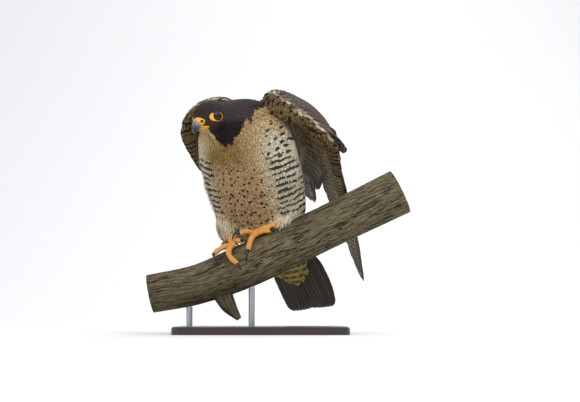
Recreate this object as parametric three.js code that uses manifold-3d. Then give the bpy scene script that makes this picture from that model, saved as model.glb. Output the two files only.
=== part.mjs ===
// A life-size peregrine falcon leaning forward on a cut length of branch, wings lifted off the body.
// Millimetres, +Z up. The origin is the centre of the stand's underside; the bird looks towards -Y.
// Inside the bird's group +X is its own left side and -Y is ahead of it.
import * as THREE from "three";
import { mergeVertices } from "three/addons/utils/BufferGeometryUtils.js";
import Module from "manifold-3d";

const wasm = await Module();
wasm.setup();

// Driving sizes
const GAP = 0.3; // between touching pieces
const BIRD_PLACE = [-19, 0, 146]; // top of the perch between the feet
const BIRD_TURN = THREE.MathUtils.degToRad(-25);
const HEAD_PLACE = [-18, -91, 184];
const HEAD_TURN = THREE.MathUtils.degToRad(-13);
const HEAD_NOD = THREE.MathUtils.degToRad(12);
const EYE_RADIUS = 9;
const EYE_PLACE = [16, -12.5, 3.5];
const EYE_LOOK = [0.93, -0.35, 0.1];
const EYE_RING = [7.2, 1.7]; // of the bare ring round the eye: its middle and its thickness
const PERCH_ENDS = 0; // cut square
const ROD_RADIUS = 5;
const ROD_PLACES = [-114, -16];
const BASE_SIZE = [270, 190, 12];
const VANE_THICK = 0.65; // a flight feather at its root
const LAYER = 1; // from one flight feather to the next that lies over it
const PRIMARIES = 10;
const SECONDARIES = 11; // with the tertials
const TAIL_FEATHERS = 12;

const finish = (color, roughness, metalness = 0) => (
  new THREE.MeshStandardMaterial({ color, roughness, metalness })
);
const vec = (a) => new THREE.Vector3(...a);
const mix = (a, b, t) => a + (b - a) * t;
const curve = (points) => new THREE.CatmullRomCurve3(points.map(vec));
const mirrored = (a) => [-a[0], a[1], a[2]];

// Solids from geometries

function solidOf(geometry) {
  const bare = geometry.clone();
  for (const name of ["normal", "uv"]) bare.deleteAttribute(name);
  const merged = mergeVertices(bare, 1e-4);
  const vertProperties = merged.attributes.position.array;
  const triVerts = new Uint32Array(merged.index.array);
  const made = new wasm.Manifold(new wasm.Mesh({ numProp: 3, vertProperties, triVerts }));
  if (made.volume() > 0) return made;
  for (let i = 0; i < triVerts.length; i += 3) {
    [triVerts[i], triVerts[i + 1]] = [triVerts[i + 1], triVerts[i]];
  }
  return new wasm.Manifold(new wasm.Mesh({ numProp: 3, vertProperties, triVerts }));
}

// Only the largest closed surface of a solid is kept.
function largest(solid) {
  return solid.decompose().reduce((a, b) => (b.volume() > a.volume() ? b : a));
}

const fuse = (first, ...others) => largest(others.reduce((sum, s) => sum.add(s), first));
const clear = (first, ...others) => largest(others.reduce((left, s) => left.subtract(s), first));
const within = (solid, matrix) => solid.transform(matrix.elements);

function meshOf(name, solid, material) {
  const m = solid.getMesh();
  const places = new Float32Array(m.numVert * 3);
  for (let i = 0; i < m.numVert; i++) {
    places.set(m.vertProperties.subarray(i * m.numProp, i * m.numProp + 3), i * 3);
  }
  const geometry = new THREE.BufferGeometry();
  geometry.setAttribute("position", new THREE.BufferAttribute(places, 3));
  geometry.setIndex(new THREE.BufferAttribute(m.triVerts, 1));
  geometry.computeVertexNormals();
  const made = new THREE.Mesh(geometry, material);
  made.name = name;
  return made;
}

// A sphere whose rows and columns are laid on a surface: place(t, angle) gives the point.
function wrapped(sides, rows, place) {
  const geometry = new THREE.SphereGeometry(1, sides, rows);
  const { position } = geometry.attributes;
  for (let i = 0; i < position.count; i++) {
    const row = Math.floor(i / (sides + 1));
    const column = i % (sides + 1) % sides;
    const p = place(row / rows, row === 0 || row === rows ? 0 : (column / sides) * Math.PI * 2);
    position.setXYZ(i, p.x, p.y, p.z);
  }
  return geometry;
}

// A rounded body through stations [x, y, z, half width, depth to the belly side, depth to the back side].
// The width lies along across; caps are the shares of the length that round off each end.
function loft(stations, { sides = 20, rows = 16, grow = 0, caps = [0.12, 0.12], across = [1, 0, 0] } = {}) {
  const path = curve(stations.map((s) => s.slice(0, 3)));
  const sizes = curve(stations.map((s) => s.slice(3)));
  const reach = path.getLength();
  return solidOf(wrapped(sides, rows, (v, angle) => {
    const t = (1 - Math.cos(Math.PI * v)) / 2;
    const at = path.getPoint(t);
    const along = path.getTangent(t);
    const side = vec(across).addScaledVector(along, -vec(across).dot(along)).normalize();
    const belly = new THREE.Vector3().crossVectors(side, along).normalize();
    const size = sizes.getPoint(t);
    const near = Math.sqrt(Math.max(0, 1 - Math.max(0, 1 - t / caps[0]) ** 2));
    const far = Math.sqrt(Math.max(0, 1 - Math.max(0, 1 - (1 - t) / caps[1]) ** 2));
    const round = near * far;
    const lift = Math.sin(angle);
    return at
      .addScaledVector(side, Math.cos(angle) * (size.x + grow) * round)
      .addScaledVector(belly, lift * ((lift > 0 ? size.y : size.z) + grow) * round)
      .addScaledVector(along, grow * (2 * t - 1) * Math.min(1, reach));
  }));
}

// A round limb along points with radii, such as a toe, a claw or the branch; out is how far its ends bulge.
function limb(points, radii, { sides = 8, rows = 10, grow = 0, out = 0.5 } = {}) {
  const path = curve(points);
  const sizes = curve(radii.map((r) => [r, 0, 0]));
  const frames = path.computeFrenetFrames(rows);
  return solidOf(wrapped(sides, rows + 2, (v, angle) => {
    const row = Math.round(v * (rows + 2)) - 1;
    const step = Math.min(rows, Math.max(0, row));
    const at = path.getPointAt(step / rows);
    const size = sizes.getPoint(path.getUtoTmapping(step / rows)).x + grow;
    const end = row < 0 ? -1 : row > rows ? 1 : 0;
    const ring = end ? 0 : size;
    return at
      .addScaledVector(frames.normals[step], Math.cos(angle) * ring)
      .addScaledVector(frames.binormals[step], Math.sin(angle) * ring)
      .addScaledVector(frames.tangents[step], end * out * size + (row <= 0 ? -grow : row >= rows ? grow : 0));
  }));
}

// A feather: a flat closed strip from root to tip, its face towards up, in a fan that bends as one.
// lead and trail are its half widths. sweep curves its shaft towards its lead side.
function vane({ root, tip, lead, trail, fan, sweep = 0, steps = 3, blunt = 0.5, grow = 0 }) {
  const along = tip.clone().sub(root);
  const length = along.length();
  along.normalize();
  const side = new THREE.Vector3().crossVectors(along, fan.up);
  const places = [];
  for (let j = 0; j <= steps; j++) {
    const t = j / steps;
    const aside = 4 * sweep * t * (1 - t);
    const centre = root.clone().addScaledVector(along, length * t).addScaledVector(side, aside);
    const narrow = t > 0.6 ? 1 - (1 - blunt) * ((t - 0.6) / 0.4) ** 2 : 1;
    const shape = Math.min(1, 0.5 + 1.8 * t) * narrow;
    const half = (VANE_THICK / 2) * mix(1, 0.8, t) + grow;
    for (const [w, h] of [[lead, half], [-trail, half], [-trail, -half], [lead, -half]]) {
      const out = w * shape + Math.sign(w) * grow;
      const flat = fan.bent(centre.clone().addScaledVector(side, out));
      places.push(...flat.addScaledVector(fan.up, h).toArray());
    }
  }
  const end = fan.bent(root.clone().addScaledVector(along, length + (lead + trail) * 0.35 * blunt + grow));
  places.push(...fan.bent(root.clone()).toArray(), ...end.toArray());
  const last = steps * 4;
  const faces = [];
  for (let j = 0; j < steps; j++) {
    for (let a = 0; a < 4; a++) {
      const b = (a + 1) % 4;
      const [p, q, r, s] = [j * 4 + a, j * 4 + b, j * 4 + 4 + b, j * 4 + 4 + a];
      if (a === 2) faces.push(p, q, s, q, r, s);
      else faces.push(p, q, r, p, r, s);
    }
  }
  for (let a = 0; a < 4; a++) {
    const b = (a + 1) % 4;
    faces.push(b, a, last + 4, last + a, last + b, last + 5);
  }
  const geometry = new THREE.BufferGeometry();
  geometry.setAttribute("position", new THREE.Float32BufferAttribute(places, 3));
  geometry.setIndex(faces);
  return solidOf(geometry);
}

// The flat fan that a wing's or the tail's feathers lie in: on is a point of it, up its upper side, ahead the
// way its feathers point and reach their length. bow is how far it bends up in the middle.
function fanOf({ on, up, ahead, reach, bow }) {
  const [origin, normal, way] = [vec(on), vec(up).normalize(), vec(ahead).normalize()];
  const bent = (p) => {
    const share = THREE.MathUtils.clamp(p.clone().sub(origin).dot(way) / reach, 0, 1);
    return p.addScaledVector(normal, 4 * bow * share * (1 - share));
  };
  const laid = (p, level) => p.addScaledVector(normal, level - p.clone().sub(origin).dot(normal));
  return { up: normal, bent, laid };
}

// A row of feathers whose roots and tips follow two curves, laid in a fan layer over layer.
// share is how much of the way to the tips they reach, as coverts do, and level the layer of the first.
function row(count, plan) {
  const { roots, tips, fan, hand, lead, trail, level = 0, rise = LAYER, share = 1, sweep = 0 } = plan;
  const [rootLine, tipLine] = [curve(roots), curve(tips)];
  return Array.from({ length: count }, (_, i) => {
    const t = i / (count - 1);
    const root = rootLine.getPoint(t);
    const tip = root.clone().lerp(tipLine.getPoint(t), share);
    const widths = [mix(...lead, t), mix(...trail, t)];
    if (hand < 0) widths.reverse();
    return vane({
      root: fan.laid(root, level + rise * i), tip: fan.laid(tip, level + rise * i), fan,
      lead: widths[0], trail: widths[1], sweep: sweep * hand * share,
      steps: plan.steps, blunt: plan.blunt, grow: plan.grow,
    });
  });
}

// The branch, along its own curve in the stand's frame

const PERCH_LINE = [[-176, 0, 63], [-98, 0, 79], [-19, 0, 110], [100, 0, 167], [219, 0, 225]];
const PERCH_RADII = [31, 32, 35.5, 35, 37];
const STUB_LINE = [[-64, 0, 66], [-52, -1, 44], [-36, -2, 24]];
const STUB_RADII = [17, 13, 5];

function perchWith(grow) {
  const branch = limb(PERCH_LINE, PERCH_RADII, { sides: 18, rows: 14, grow, out: PERCH_ENDS });
  return fuse(branch, limb(STUB_LINE, STUB_RADII, { sides: 10, rows: 4, grow, out: 0.3 }));
}

function stand() {
  const group = new THREE.Group();
  const [wide, deep, high] = BASE_SIZE;
  const outline = new THREE.Shape();
  const round = 14;
  outline.absarc(wide / 2 - round, deep / 2 - round, round, 0, Math.PI / 2);
  outline.absarc(round - wide / 2, deep / 2 - round, round, Math.PI / 2, Math.PI);
  outline.absarc(round - wide / 2, round - deep / 2, round, Math.PI, Math.PI * 1.5);
  outline.absarc(wide / 2 - round, round - deep / 2, round, Math.PI * 1.5, Math.PI * 2);
  const slab = new THREE.ExtrudeGeometry(outline, {
    depth: high - 2, bevelThickness: 2, bevelSize: 2, bevelOffset: -2, bevelSegments: 1, curveSegments: 4,
  });
  slab.deleteAttribute("normal");
  slab.deleteAttribute("uv");
  const places = slab.attributes.position;
  for (let i = 0; i < places.count; i++) if (places.getZ(i) < 0) places.setZ(i, 0);
  group.add(meshOf("stand_base", solidOf(slab), finish(0x2a2522, 0.45)));
  for (const [i, x] of ROD_PLACES.entries()) {
    const long = 120;
    const rod = new THREE.CylinderGeometry(ROD_RADIUS, ROD_RADIUS, long, 20).rotateX(Math.PI / 2);
    rod.translate(x, 0, high + GAP + long / 2);
    const name = `stand_rod_${["low", "high"][i]}`;
    group.add(meshOf(name, clear(solidOf(rod), perchWith(GAP)), finish(0x8d9094, 0.35, 1)));
  }
  return group;
}

// Body and neck, in the bird's frame

const TORSO = [
  [0, 84, -6, 22, 14, 12],
  [0, 66, 18, 56, 40, 26],
  [0, 45, 46, 77, 58, 40],
  [0, 26, 80, 83, 64, 50],
  [0, 8, 114, 85, 67, 55],
  [0, -8, 144, 84, 66, 55],
  [0, -19, 170, 80, 58, 50],
  [0, -24, 192, 67, 46, 44],
  [0, -27, 212, 42, 32, 34],
];
const NECK = [
  [10, -8, 178, 54, 46, 52],
  [3, -34, 186, 46, 48, 43],
  [-7, -60, 188, 36, 47, 33],
  [-14, -82, 188, 30, 43, 24],
  [-18, -105, 178, 22, 25, 14],
];
const torsoWith = (grow) => loft(TORSO, { sides: 22, rows: 17, grow, caps: [0.08, 0.2] });
const neckWith = (grow) => loft(NECK, { sides: 18, rows: 11, grow, caps: [0.2, 0.2] });

// Head, in its own frame: the bill points along -Y

const SKULL = [
  [0, 28, -1, 21, 23, 24],
  [0, 14, 0, 24, 24, 26.5],
  [0, -1, 0, 24.5, 23, 27.5],
  [0, -14, 0, 22.8, 21, 23.5],
  [0, -25, -1, 17, 16, 16.5],
  [0, -33, -1, 9.5, 10, 10],
];
const CERE = [
  [0, -28, -1, 9.4, 9, 9],
  [0, -33, -1.2, 8.4, 8.2, 9],
  [0, -38, -2, 6.9, 6.6, 7.6],
];
const BILL_UPPER = [
  [0, -35, -1.8, 6.9, 6.2, 7.4],
  [0, -40, -3.2, 6, 6, 6.4],
  [0, -44.5, -6.4, 4.6, 5.4, 5.4],
  [0, -47.6, -11.5, 2.8, 3.4, 3.4],
  [0, -48.2, -17, 1, 1, 1],
];
const BILL_LOWER = [
  [0, -24, -12, 9.4, 4.6, 4.2],
  [0, -31, -12, 7.6, 4.2, 3.8],
  [0, -37, -12.2, 5.4, 3.6, 3.2],
  [0, -42, -12.6, 3, 2.4, 2.2],
];
const skullWith = (grow) => loft(SKULL, { sides: 20, rows: 12, grow, caps: [0.25, 0.12] });
const cereWith = (grow) => loft(CERE, { sides: 16, rows: 6, grow, caps: [0.1, 0.25] });
const billWith = (grow) => loft(BILL_UPPER, { sides: 14, rows: 12, grow, caps: [0.05, 0.1] });
const jawWith = (grow) => loft(BILL_LOWER, { sides: 14, rows: 8, grow, caps: [0.05, 0.2] });

function eyeParts(side) {
  const place = side > 0 ? vec(EYE_PLACE) : vec(mirrored(EYE_PLACE));
  const look = (side > 0 ? vec(EYE_LOOK) : vec(mirrored(EYE_LOOK))).normalize();
  const turn = new THREE.Quaternion().setFromUnitVectors(new THREE.Vector3(0, 1, 0), look);
  const ringPlace = place.clone().addScaledVector(look, Math.sqrt(EYE_RADIUS ** 2 - 6.5 ** 2));
  const ball = (grow) => solidOf(new THREE.SphereGeometry(EYE_RADIUS + grow, 14, 9).applyQuaternion(turn)
    .translate(place.x, place.y, place.z));
  const ring = (grow) => {
    const [middle, thick] = EYE_RING;
    const outline = new THREE.Path().absellipse(middle, 0, thick + grow, thick + grow, 0, Math.PI * 2);
    const section = outline.getPoints(5);
    return solidOf(new THREE.LatheGeometry(section, 14).applyQuaternion(turn)
      .translate(ringPlace.x, ringPlace.y, ringPlace.z));
  };
  return { ball, ring };
}

function head() {
  const group = new THREE.Group();
  group.position.set(...HEAD_PLACE);
  group.rotation.set(HEAD_NOD, 0, HEAD_TURN, "ZXY");
  group.updateMatrix();
  const eyes = [eyeParts(1), eyeParts(-1)];
  const nostrils = [1, -1].map((side) => limb(
    [[side * 5, -36, 0.8], [side * 10, -38, 1.2]], [1.4, 1.4], { sides: 8, rows: 1, out: 0 },
  ));
  const gape = [1, -1].map((side) => limb(
    [[side * 6.5, -33, -8], [side * 10, -26, -8.6], [side * 14, -20, -9.4]], [0.7, 0.6, 0.3],
    { sides: 6, rows: 4 },
  ));
  const cuts = eyes.flatMap((e) => [e.ball(GAP), e.ring(GAP)]);
  const skull = clear(skullWith(0), ...cuts, cereWith(GAP), jawWith(GAP), ...gape);
  group.add(meshOf("head", skull, finish(0x3a3838, 0.75)));
  const cere = clear(cereWith(0), jawWith(GAP), ...nostrils);
  group.add(meshOf("cere", cere, finish(0xe3a21a, 0.5)));
  const bill = clear(billWith(0), cereWith(GAP), jawWith(GAP));
  group.add(meshOf("bill_upper", bill, finish(0x59626d, 0.3)));
  group.add(meshOf("bill_lower", jawWith(0), finish(0x59626d, 0.3)));
  for (const [i, name] of ["left", "right"].entries()) {
    group.add(meshOf(`${name}_eye`, eyes[i].ball(0), finish(0x100a06, 0.05)));
    const ring = clear(eyes[i].ring(0), eyes[i].ball(GAP));
    group.add(meshOf(`${name}_eyelid`, ring, finish(0xe3a21a, 0.5)));
  }
  return group;
}

// Wings, half open and drooping. The arm runs from the shoulder to the wrist with the skin before the elbow.
// Feather lines run from the leading feather to the last, arm stations from the shoulder out.

const LEFT_WING = {
  arm: [
    [28, -8, 210, 24, 20, 22],
    [48, -6, 214, 30, 20, 25],
    [78, 4, 206, 34, 14, 18],
    [108, 2, 186, 27, 11, 14],
    [132, -8, 164, 16, 9, 10],
    [145, -14, 152, 8, 7, 7],
  ],
  hand: [
    [141, -16, 157, 15, 8, 8],
    [139, 6, 140, 15, 7, 7],
    [133, 34, 118, 11, 6, 6],
    [126, 60, 96, 7, 4, 4],
  ],
  primaryTips: [[96, 243, -46], [91, 257, -61], [86, 215, -15], [78, 160, 42], [72, 122, 74]],
  secondaryTips: [[69, 112, 92], [50, 106, 112], [45, 120, 92], [40, 132, 72]],
  handFan: { on: [130, 30, 124], up: [0.44, 0.61, 0.67], ahead: [-0.2, 0.74, -0.64], reach: 240, bow: 5 },
  armFan: { on: [98, 14, 195], up: [0.46, 0.71, 0.53], ahead: [-0.38, 0.68, -0.63], reach: 160, bow: 4 },
  alulaRoots: [[143, -12, 158], [140, -4, 160]],
  alulaTips: [[139, 44, 112], [135, 30, 126]],
  alulaFan: { on: [142, -8, 154.5], up: [0.38, 0.61, 0.67], ahead: [0, 0.7, -0.7], reach: 70, bow: 0 },
};
const RIGHT_WING = {
  arm: [
    [-26, -8, 206, 24, 20, 18],
    [-47, -6, 214, 30, 20, 20],
    [-68, 2, 220, 34, 14, 16],
    [-89, -2, 214, 27, 11, 15],
    [-103, -10, 203, 16, 9, 11],
    [-111, -16, 191, 8, 7, 7],
  ],
  hand: [
    [-106, -18, 192, 15, 8, 8],
    [-112, 4, 172, 15, 7, 7],
    [-116, 34, 146, 11, 6, 6],
    [-116, 60, 120, 7, 4, 4],
  ],
  primaryTips: [[-86, 232, -30], [-80, 246, -42], [-76, 210, 0], [-68, 160, 50], [-62, 119, 82]],
  secondaryTips: [[-58, 116, 98], [-50, 112, 100], [-45, 122, 86], [-38, 132, 72]],
  handFan: { on: [-112, 30, 150], up: [-0.27, 0.66, 0.7], ahead: [0.13, 0.72, -0.68], reach: 240, bow: 5 },
  armFan: { on: [-84, 12, 215], up: [-0.37, 0.75, 0.56], ahead: [0.25, 0.65, -0.72], reach: 170, bow: 4 },
  alulaRoots: [[-109, -14, 190], [-106, -6, 192]],
  alulaTips: [[-117, 34, 132], [-113, 24, 144]],
  alulaFan: { on: [-108, -10, 186.5], up: [-0.5, 0.55, 0.67], ahead: [0, 0.7, -0.7], reach: 70, bow: 0 },
};
const ARM_ACROSS = [0.1, 0.95, 0.25]; // from the leading edge back to the elbow
const HAND_ACROSS = [0.87, 0, -0.5];

const acrossFor = (a, hand) => (hand > 0 ? a : [a[0], -a[1], -a[2]]);

// Four points inside a core, from share first of its path to share last, towards its feathered edge.
function rootsIn(stations, across, share, first, last) {
  const path = curve(stations.map((s) => s.slice(0, 3)));
  const sizes = curve(stations.map((s) => s.slice(3)));
  return [0, 1, 2, 3].map((i) => {
    const t = mix(first, last, i / 3);
    return path.getPoint(t).addScaledVector(vec(across).normalize(), share * sizes.getPoint(t).x).toArray();
  });
}

function wingHand(plan, hand, grow = 0) {
  const across = acrossFor(HAND_ACROSS, hand);
  const core = loft(plan.hand, { sides: 10, rows: 7, grow, caps: [0.2, 0.2], across });
  const line = {
    roots: rootsIn(plan.hand, across, -0.35 * hand, 0.86, 0.34), tips: plan.primaryTips,
    fan: fanOf(plan.handFan), hand, grow, sweep: 3, lead: [6, 11], trail: [14, 16], level: -4,
  };
  const primaries = row(PRIMARIES, { ...line, steps: 4, blunt: 0.35 });
  const over = row(6, {
    ...line, lead: [9, 12], trail: [12, 14], share: 0.36, steps: 2,
    level: line.level + 2.5, rise: LAYER * 1.55,
  });
  const thumb = row(3, {
    ...line, roots: plan.alulaRoots, tips: plan.alulaTips, fan: fanOf(plan.alulaFan),
    sweep: 0, level: 0, lead: [6, 6], trail: [8, 8], steps: 2, blunt: 0.6,
  });
  return fuse(core, ...primaries, ...over, ...thumb);
}

function wingArm(plan, hand, grow = 0) {
  const across = acrossFor(ARM_ACROSS, hand);
  const core = loft(plan.arm, { sides: 12, rows: 9, grow, caps: [0.2, 0.2], across });
  const line = {
    roots: rootsIn(plan.arm, across, 0.5 * hand, 0.84, 0.24), tips: plan.secondaryTips,
    fan: fanOf(plan.armFan), hand, grow, lead: [9, 11], trail: [13, 14], level: -5.5,
  };
  const flight = row(SECONDARIES, { ...line, steps: 3 });
  const over = row(7, { ...line, share: 0.5, level: line.level + 4, rise: LAYER * 1.6, steps: 2 });
  return fuse(core, ...flight, ...over);
}

// Tail, with the coverts over and under its root

const TAIL_CORE = [
  [3, 68, 13, 34, 16, 20],
  [12, 94, -9, 42, 10, 13],
  [16, 120, -30, 38, 5, 6],
];
const TAIL_FAN = {
  on: [12, 90, -6],
  up: [-0.16, 0.64, 0.77],
  ahead: [0.05, 0.77, -0.64],
  reach: 155,
  bow: 3,
};
const TAIL_ROOTS = [-23, 40]; // of the outer feathers, from the middle ones, to the right and to the left
const TAIL_TIPS = [-34, 36];

function tail() {
  const fan = fanOf(TAIL_FAN);
  const half = TAIL_FEATHERS / 2;
  const feathers = [1, -1].flatMap((side) => Array.from({ length: half }, (_, i) => {
    const t = i / (half - 1);
    const level = side < 0 && i === 0 ? LAYER : -LAYER * i; // one middle feather lies over the other
    const webs = [i === 0 ? 7 : 10, mix(14, 17, t)];
    if (side > 0) webs.reverse();
    const end = side > 0 ? 1 : 0;
    return vane({
      root: fan.laid(vec([12 + mix(3 * side, TAIL_ROOTS[end], t), 90, -6]), level),
      tip: fan.laid(vec([16 + mix(4 * side, TAIL_TIPS[end], t), 212 - 3 * t * t, -103 + 3 * t * t]), level),
      fan, lead: webs[1], trail: webs[0], sweep: 6 * t * end, steps: 4, blunt: 0.7,
    });
  }));
  const coverts = (spread, reach, high) => [-2, -1, 0, 1, 2].map((k) => {
    const level = high - Math.sign(high) * LAYER * Math.abs(k);
    return vane({
      root: fan.laid(vec([6 + k * spread * 0.5, 74, 10]), level),
      tip: fan.laid(vec([12 + k * spread, 74 + reach * 0.77, 10 - reach * 0.64]), level),
      fan, lead: 12, trail: 12, steps: 2, blunt: 0.4,
    });
  });
  const core = loft(TAIL_CORE, { sides: 12, rows: 7 });
  return fuse(core, ...feathers, ...coverts(14, 78, 6), ...coverts(13, 112, -10));
}

// Legs and feet. Toes run over the branch: along is measured up the branch, and round is the angle
// from its top.

const BRANCH_LINE = curve(PERCH_LINE);
const BRANCH_SIZE = curve(PERCH_RADII.map((r) => [r, 0, 0]));
const FOOT_AT = BRANCH_LINE.getLengths(200)[100]; // along the branch to the middle of the stance
const AHEAD = new THREE.Vector3(0, -1, 0);

function onBranch(along, round, high, toBird) {
  const share = (FOOT_AT + along) / BRANCH_LINE.getLength();
  const axis = BRANCH_LINE.getTangentAt(share);
  const angle = THREE.MathUtils.degToRad(round);
  const top = new THREE.Vector3().crossVectors(axis, AHEAD).negate().normalize();
  const out = top.multiplyScalar(Math.cos(angle)).addScaledVector(AHEAD, Math.sin(angle));
  const radius = BRANCH_SIZE.getPoint(BRANCH_LINE.getUtoTmapping(share)).x;
  return BRANCH_LINE.getPointAt(share).addScaledVector(out, radius + high).applyMatrix4(toBird).toArray();
}

// Each toe: its start and end as [along, round, height over the bark], how far it arches, and its claw's end
const TOE_RADII = [5, 4.2, 4.7, 3.9, 4.4, 3.4];
const LEFT_TOES = {
  middle: { from: [27, 22, 6], to: [7, 60, 4.6], arch: 2, claw: [-3, 86, 1.5] },
  inner: { from: [25, 14, 8], to: [6, 20, 17], arch: 3, claw: [-11, 25, 13] },
  outer: { from: [29, 20, 5], to: [52, 34, 4.5], arch: 2, claw: [64, 46, 1] },
  hind: { from: [27, 13, 6], to: [22, -38, 4.5], arch: 1, claw: [18, -66, 1] },
};
const RIGHT_TOES = {
  middle: { from: [-12, 24, 6], to: [-17, 80, 4.6], arch: 2, bend: -9, claw: [-15, 100, 1.5] },
  inner: { from: [-9, 14, 6], to: [2, 26, 5.5], arch: 3, claw: [10, 34, 1.5] },
  outer: { from: [-15, 22, 6], to: [-47, 30, 7], arch: 3, claw: [-47, 60, 1] },
  hind: { from: [-13, 13, 6], to: [-20, -38, 4.5], arch: 1, claw: [-24, -66, 1] },
};
const LEFT_LEG = {
  thigh: [[50, 34, 62, 28, 30, 28], [47, 16, 38, 22, 25, 22], [43, 4, 22, 13, 14, 13]],
  ankle: [42, 2, 24],
};
const RIGHT_LEG = {
  thigh: [[-46, 26, 56, 30, 30, 28], [-38, 4, 24, 22, 24, 22], [-30, -12, 2, 12, 13, 12]],
  ankle: [-28, -10, 8],
};

function toeParts(plan, toBird) {
  const steps = 5;
  const points = Array.from({ length: steps + 1 }, (_, i) => {
    const t = i / steps;
    const high = mix(plan.from[2], plan.to[2], t) + plan.arch * Math.sin(Math.PI * t);
    const along = mix(plan.from[0], plan.to[0], t) + (plan.bend ?? 0) * Math.sin(Math.PI * t);
    return onBranch(along, mix(plan.from[1], plan.to[1], t), high, toBird);
  });
  const [a, r, h] = plan.to;
  const [ca, cr, ch] = plan.claw;
  const talon = [
    onBranch(a, r, h + 0.6, toBird),
    onBranch(mix(a, ca, 0.55), mix(r, cr, 0.55), mix(h, ch, 0.3) + 2.5, toBird),
    onBranch(ca, cr, ch, toBird),
  ];
  const toe = (grow) => limb(points, TOE_RADII, { sides: 7, rows: 7, grow, out: 0.6 });
  const claw = (grow) => limb(talon, [3, 2.2, 0.6], { sides: 6, rows: 5, grow, out: 0.8 });
  return { toe, claw };
}

function leg(name, legPlan, toePlans, toBird, ...others) {
  const toes = Object.entries(toePlans).map(([key, plan]) => ({ key, ...toeParts(plan, toBird) }));
  const pad = onBranch(toePlans.middle.from[0], toePlans.middle.from[1] - 6, 7, toBird);
  const shank = (grow) => limb([legPlan.ankle, pad], [6.2, 5.4], { sides: 10, rows: 2, grow });
  const foot = (grow) => fuse(shank(grow), ...toes.map((t) => t.toe(grow)));
  const footSpace = foot(GAP);
  const space = toes.reduce((sum, t) => sum.add(t.claw(GAP)), footSpace);
  const thigh = loft(legPlan.thigh, { sides: 16, rows: 10, caps: [0.2, 0.2] });
  const meshes = [
    meshOf(`${name}_thigh`, clear(thigh, grownTorso, space, ...others), finish(0xd9cdb4, 0.85)),
    meshOf(`${name}_foot`, clear(foot(0), ...others), finish(0xe39a1c, 0.5)),
  ];
  for (const toe of toes) {
    const claw = clear(toe.claw(0), footSpace, ...others);
    meshes.push(meshOf(`${name}_claw_${toe.key}`, claw, finish(0x17161a, 0.25)));
  }
  return { meshes, space };
}

// Assembly

const model = new THREE.Group();
const bird = new THREE.Group();
bird.position.set(...BIRD_PLACE);
bird.rotation.z = BIRD_TURN;
bird.updateMatrix();
const toBird = bird.matrix.clone().invert();
const perch = within(perchWith(GAP), toBird);
const grownTorso = torsoWith(GAP);
const headGroup = head();
const grownSkull = within(skullWith(GAP), headGroup.matrix);

const leftLeg = leg("left", LEFT_LEG, LEFT_TOES, toBird, perch);
const legs = [leftLeg, leg("right", RIGHT_LEG, RIGHT_TOES, toBird, perch, leftLeg.space)];
const feet = legs.map((l) => l.space);
const torso = clear(torsoWith(0), perch, grownSkull, ...feet);

model.add(bird, stand(), meshOf("perch", perchWith(0), finish(0x7c7367, 0.9)));
bird.add(headGroup, ...legs.flatMap((l) => l.meshes));
bird.add(meshOf("torso", torso, finish(0xcfc0a0, 0.85)));
bird.add(meshOf("neck", clear(neckWith(0), grownTorso, grownSkull), finish(0x4a4440, 0.8)));
bird.add(meshOf("tail", clear(tail(), grownTorso, perch, ...feet), finish(0x2d2724, 0.6)));
const grownNeck = neckWith(GAP);
for (const [name, plan, hand] of [["left", LEFT_WING, 1], ["right", RIGHT_WING, -1]]) {
  const outer = clear(wingHand(plan, hand), grownTorso, grownNeck, grownSkull, perch, ...feet);
  const grownHand = wingHand(plan, hand, GAP);
  const inner = clear(wingArm(plan, hand), grownTorso, grownNeck, grownSkull, perch, grownHand);
  bird.add(meshOf(`${name}_wing_arm`, inner, finish(0x5a4c40, 0.7)));
  bird.add(meshOf(`${name}_wing_hand`, outer, finish(0x3a332f, 0.6)));
}

export default model;
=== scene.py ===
"""A life-size peregrine falcon on a cut branch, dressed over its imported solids.

Sizes are millimetres, in the bird's frame (it faces -Y and +X is its left side), the head's or the stand's,
and become metres when a mesh is made.
"""
import logging
import math
from collections.abc import Callable
from dataclasses import dataclass
from enum import Enum

import bpy
import numpy as np
from mathutils import Euler, Matrix, Vector, noise


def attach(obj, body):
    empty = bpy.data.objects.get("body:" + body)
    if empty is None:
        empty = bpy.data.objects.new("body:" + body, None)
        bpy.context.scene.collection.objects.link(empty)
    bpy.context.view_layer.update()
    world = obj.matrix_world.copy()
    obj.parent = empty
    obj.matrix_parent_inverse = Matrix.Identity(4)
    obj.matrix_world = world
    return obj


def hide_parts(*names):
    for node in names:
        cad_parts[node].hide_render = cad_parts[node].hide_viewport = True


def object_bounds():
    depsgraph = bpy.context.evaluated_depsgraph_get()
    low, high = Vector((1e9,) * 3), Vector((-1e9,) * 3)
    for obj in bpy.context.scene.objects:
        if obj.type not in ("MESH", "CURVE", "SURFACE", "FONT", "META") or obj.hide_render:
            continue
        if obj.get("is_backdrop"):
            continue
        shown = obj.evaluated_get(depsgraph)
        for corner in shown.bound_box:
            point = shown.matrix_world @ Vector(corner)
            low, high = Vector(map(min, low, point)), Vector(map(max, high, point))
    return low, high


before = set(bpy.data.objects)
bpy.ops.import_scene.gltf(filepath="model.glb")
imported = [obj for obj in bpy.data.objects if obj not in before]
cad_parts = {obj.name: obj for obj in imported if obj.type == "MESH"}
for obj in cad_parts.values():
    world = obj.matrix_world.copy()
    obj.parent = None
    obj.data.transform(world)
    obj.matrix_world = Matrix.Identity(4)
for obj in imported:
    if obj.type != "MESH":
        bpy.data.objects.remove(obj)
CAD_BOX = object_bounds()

log = logging.getLogger("falcon")

MM = 0.001
BODY = "root"
TURN = 2 * math.pi

# Where the bird and its head stand
BIRD_PLACE = (-19, 0, 146)
BIRD_TURN = math.radians(-25)
HEAD_PLACE = (-18, -91, 184)
HEAD_TURN = math.radians(-13)
HEAD_NOD = math.radians(12)

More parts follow.
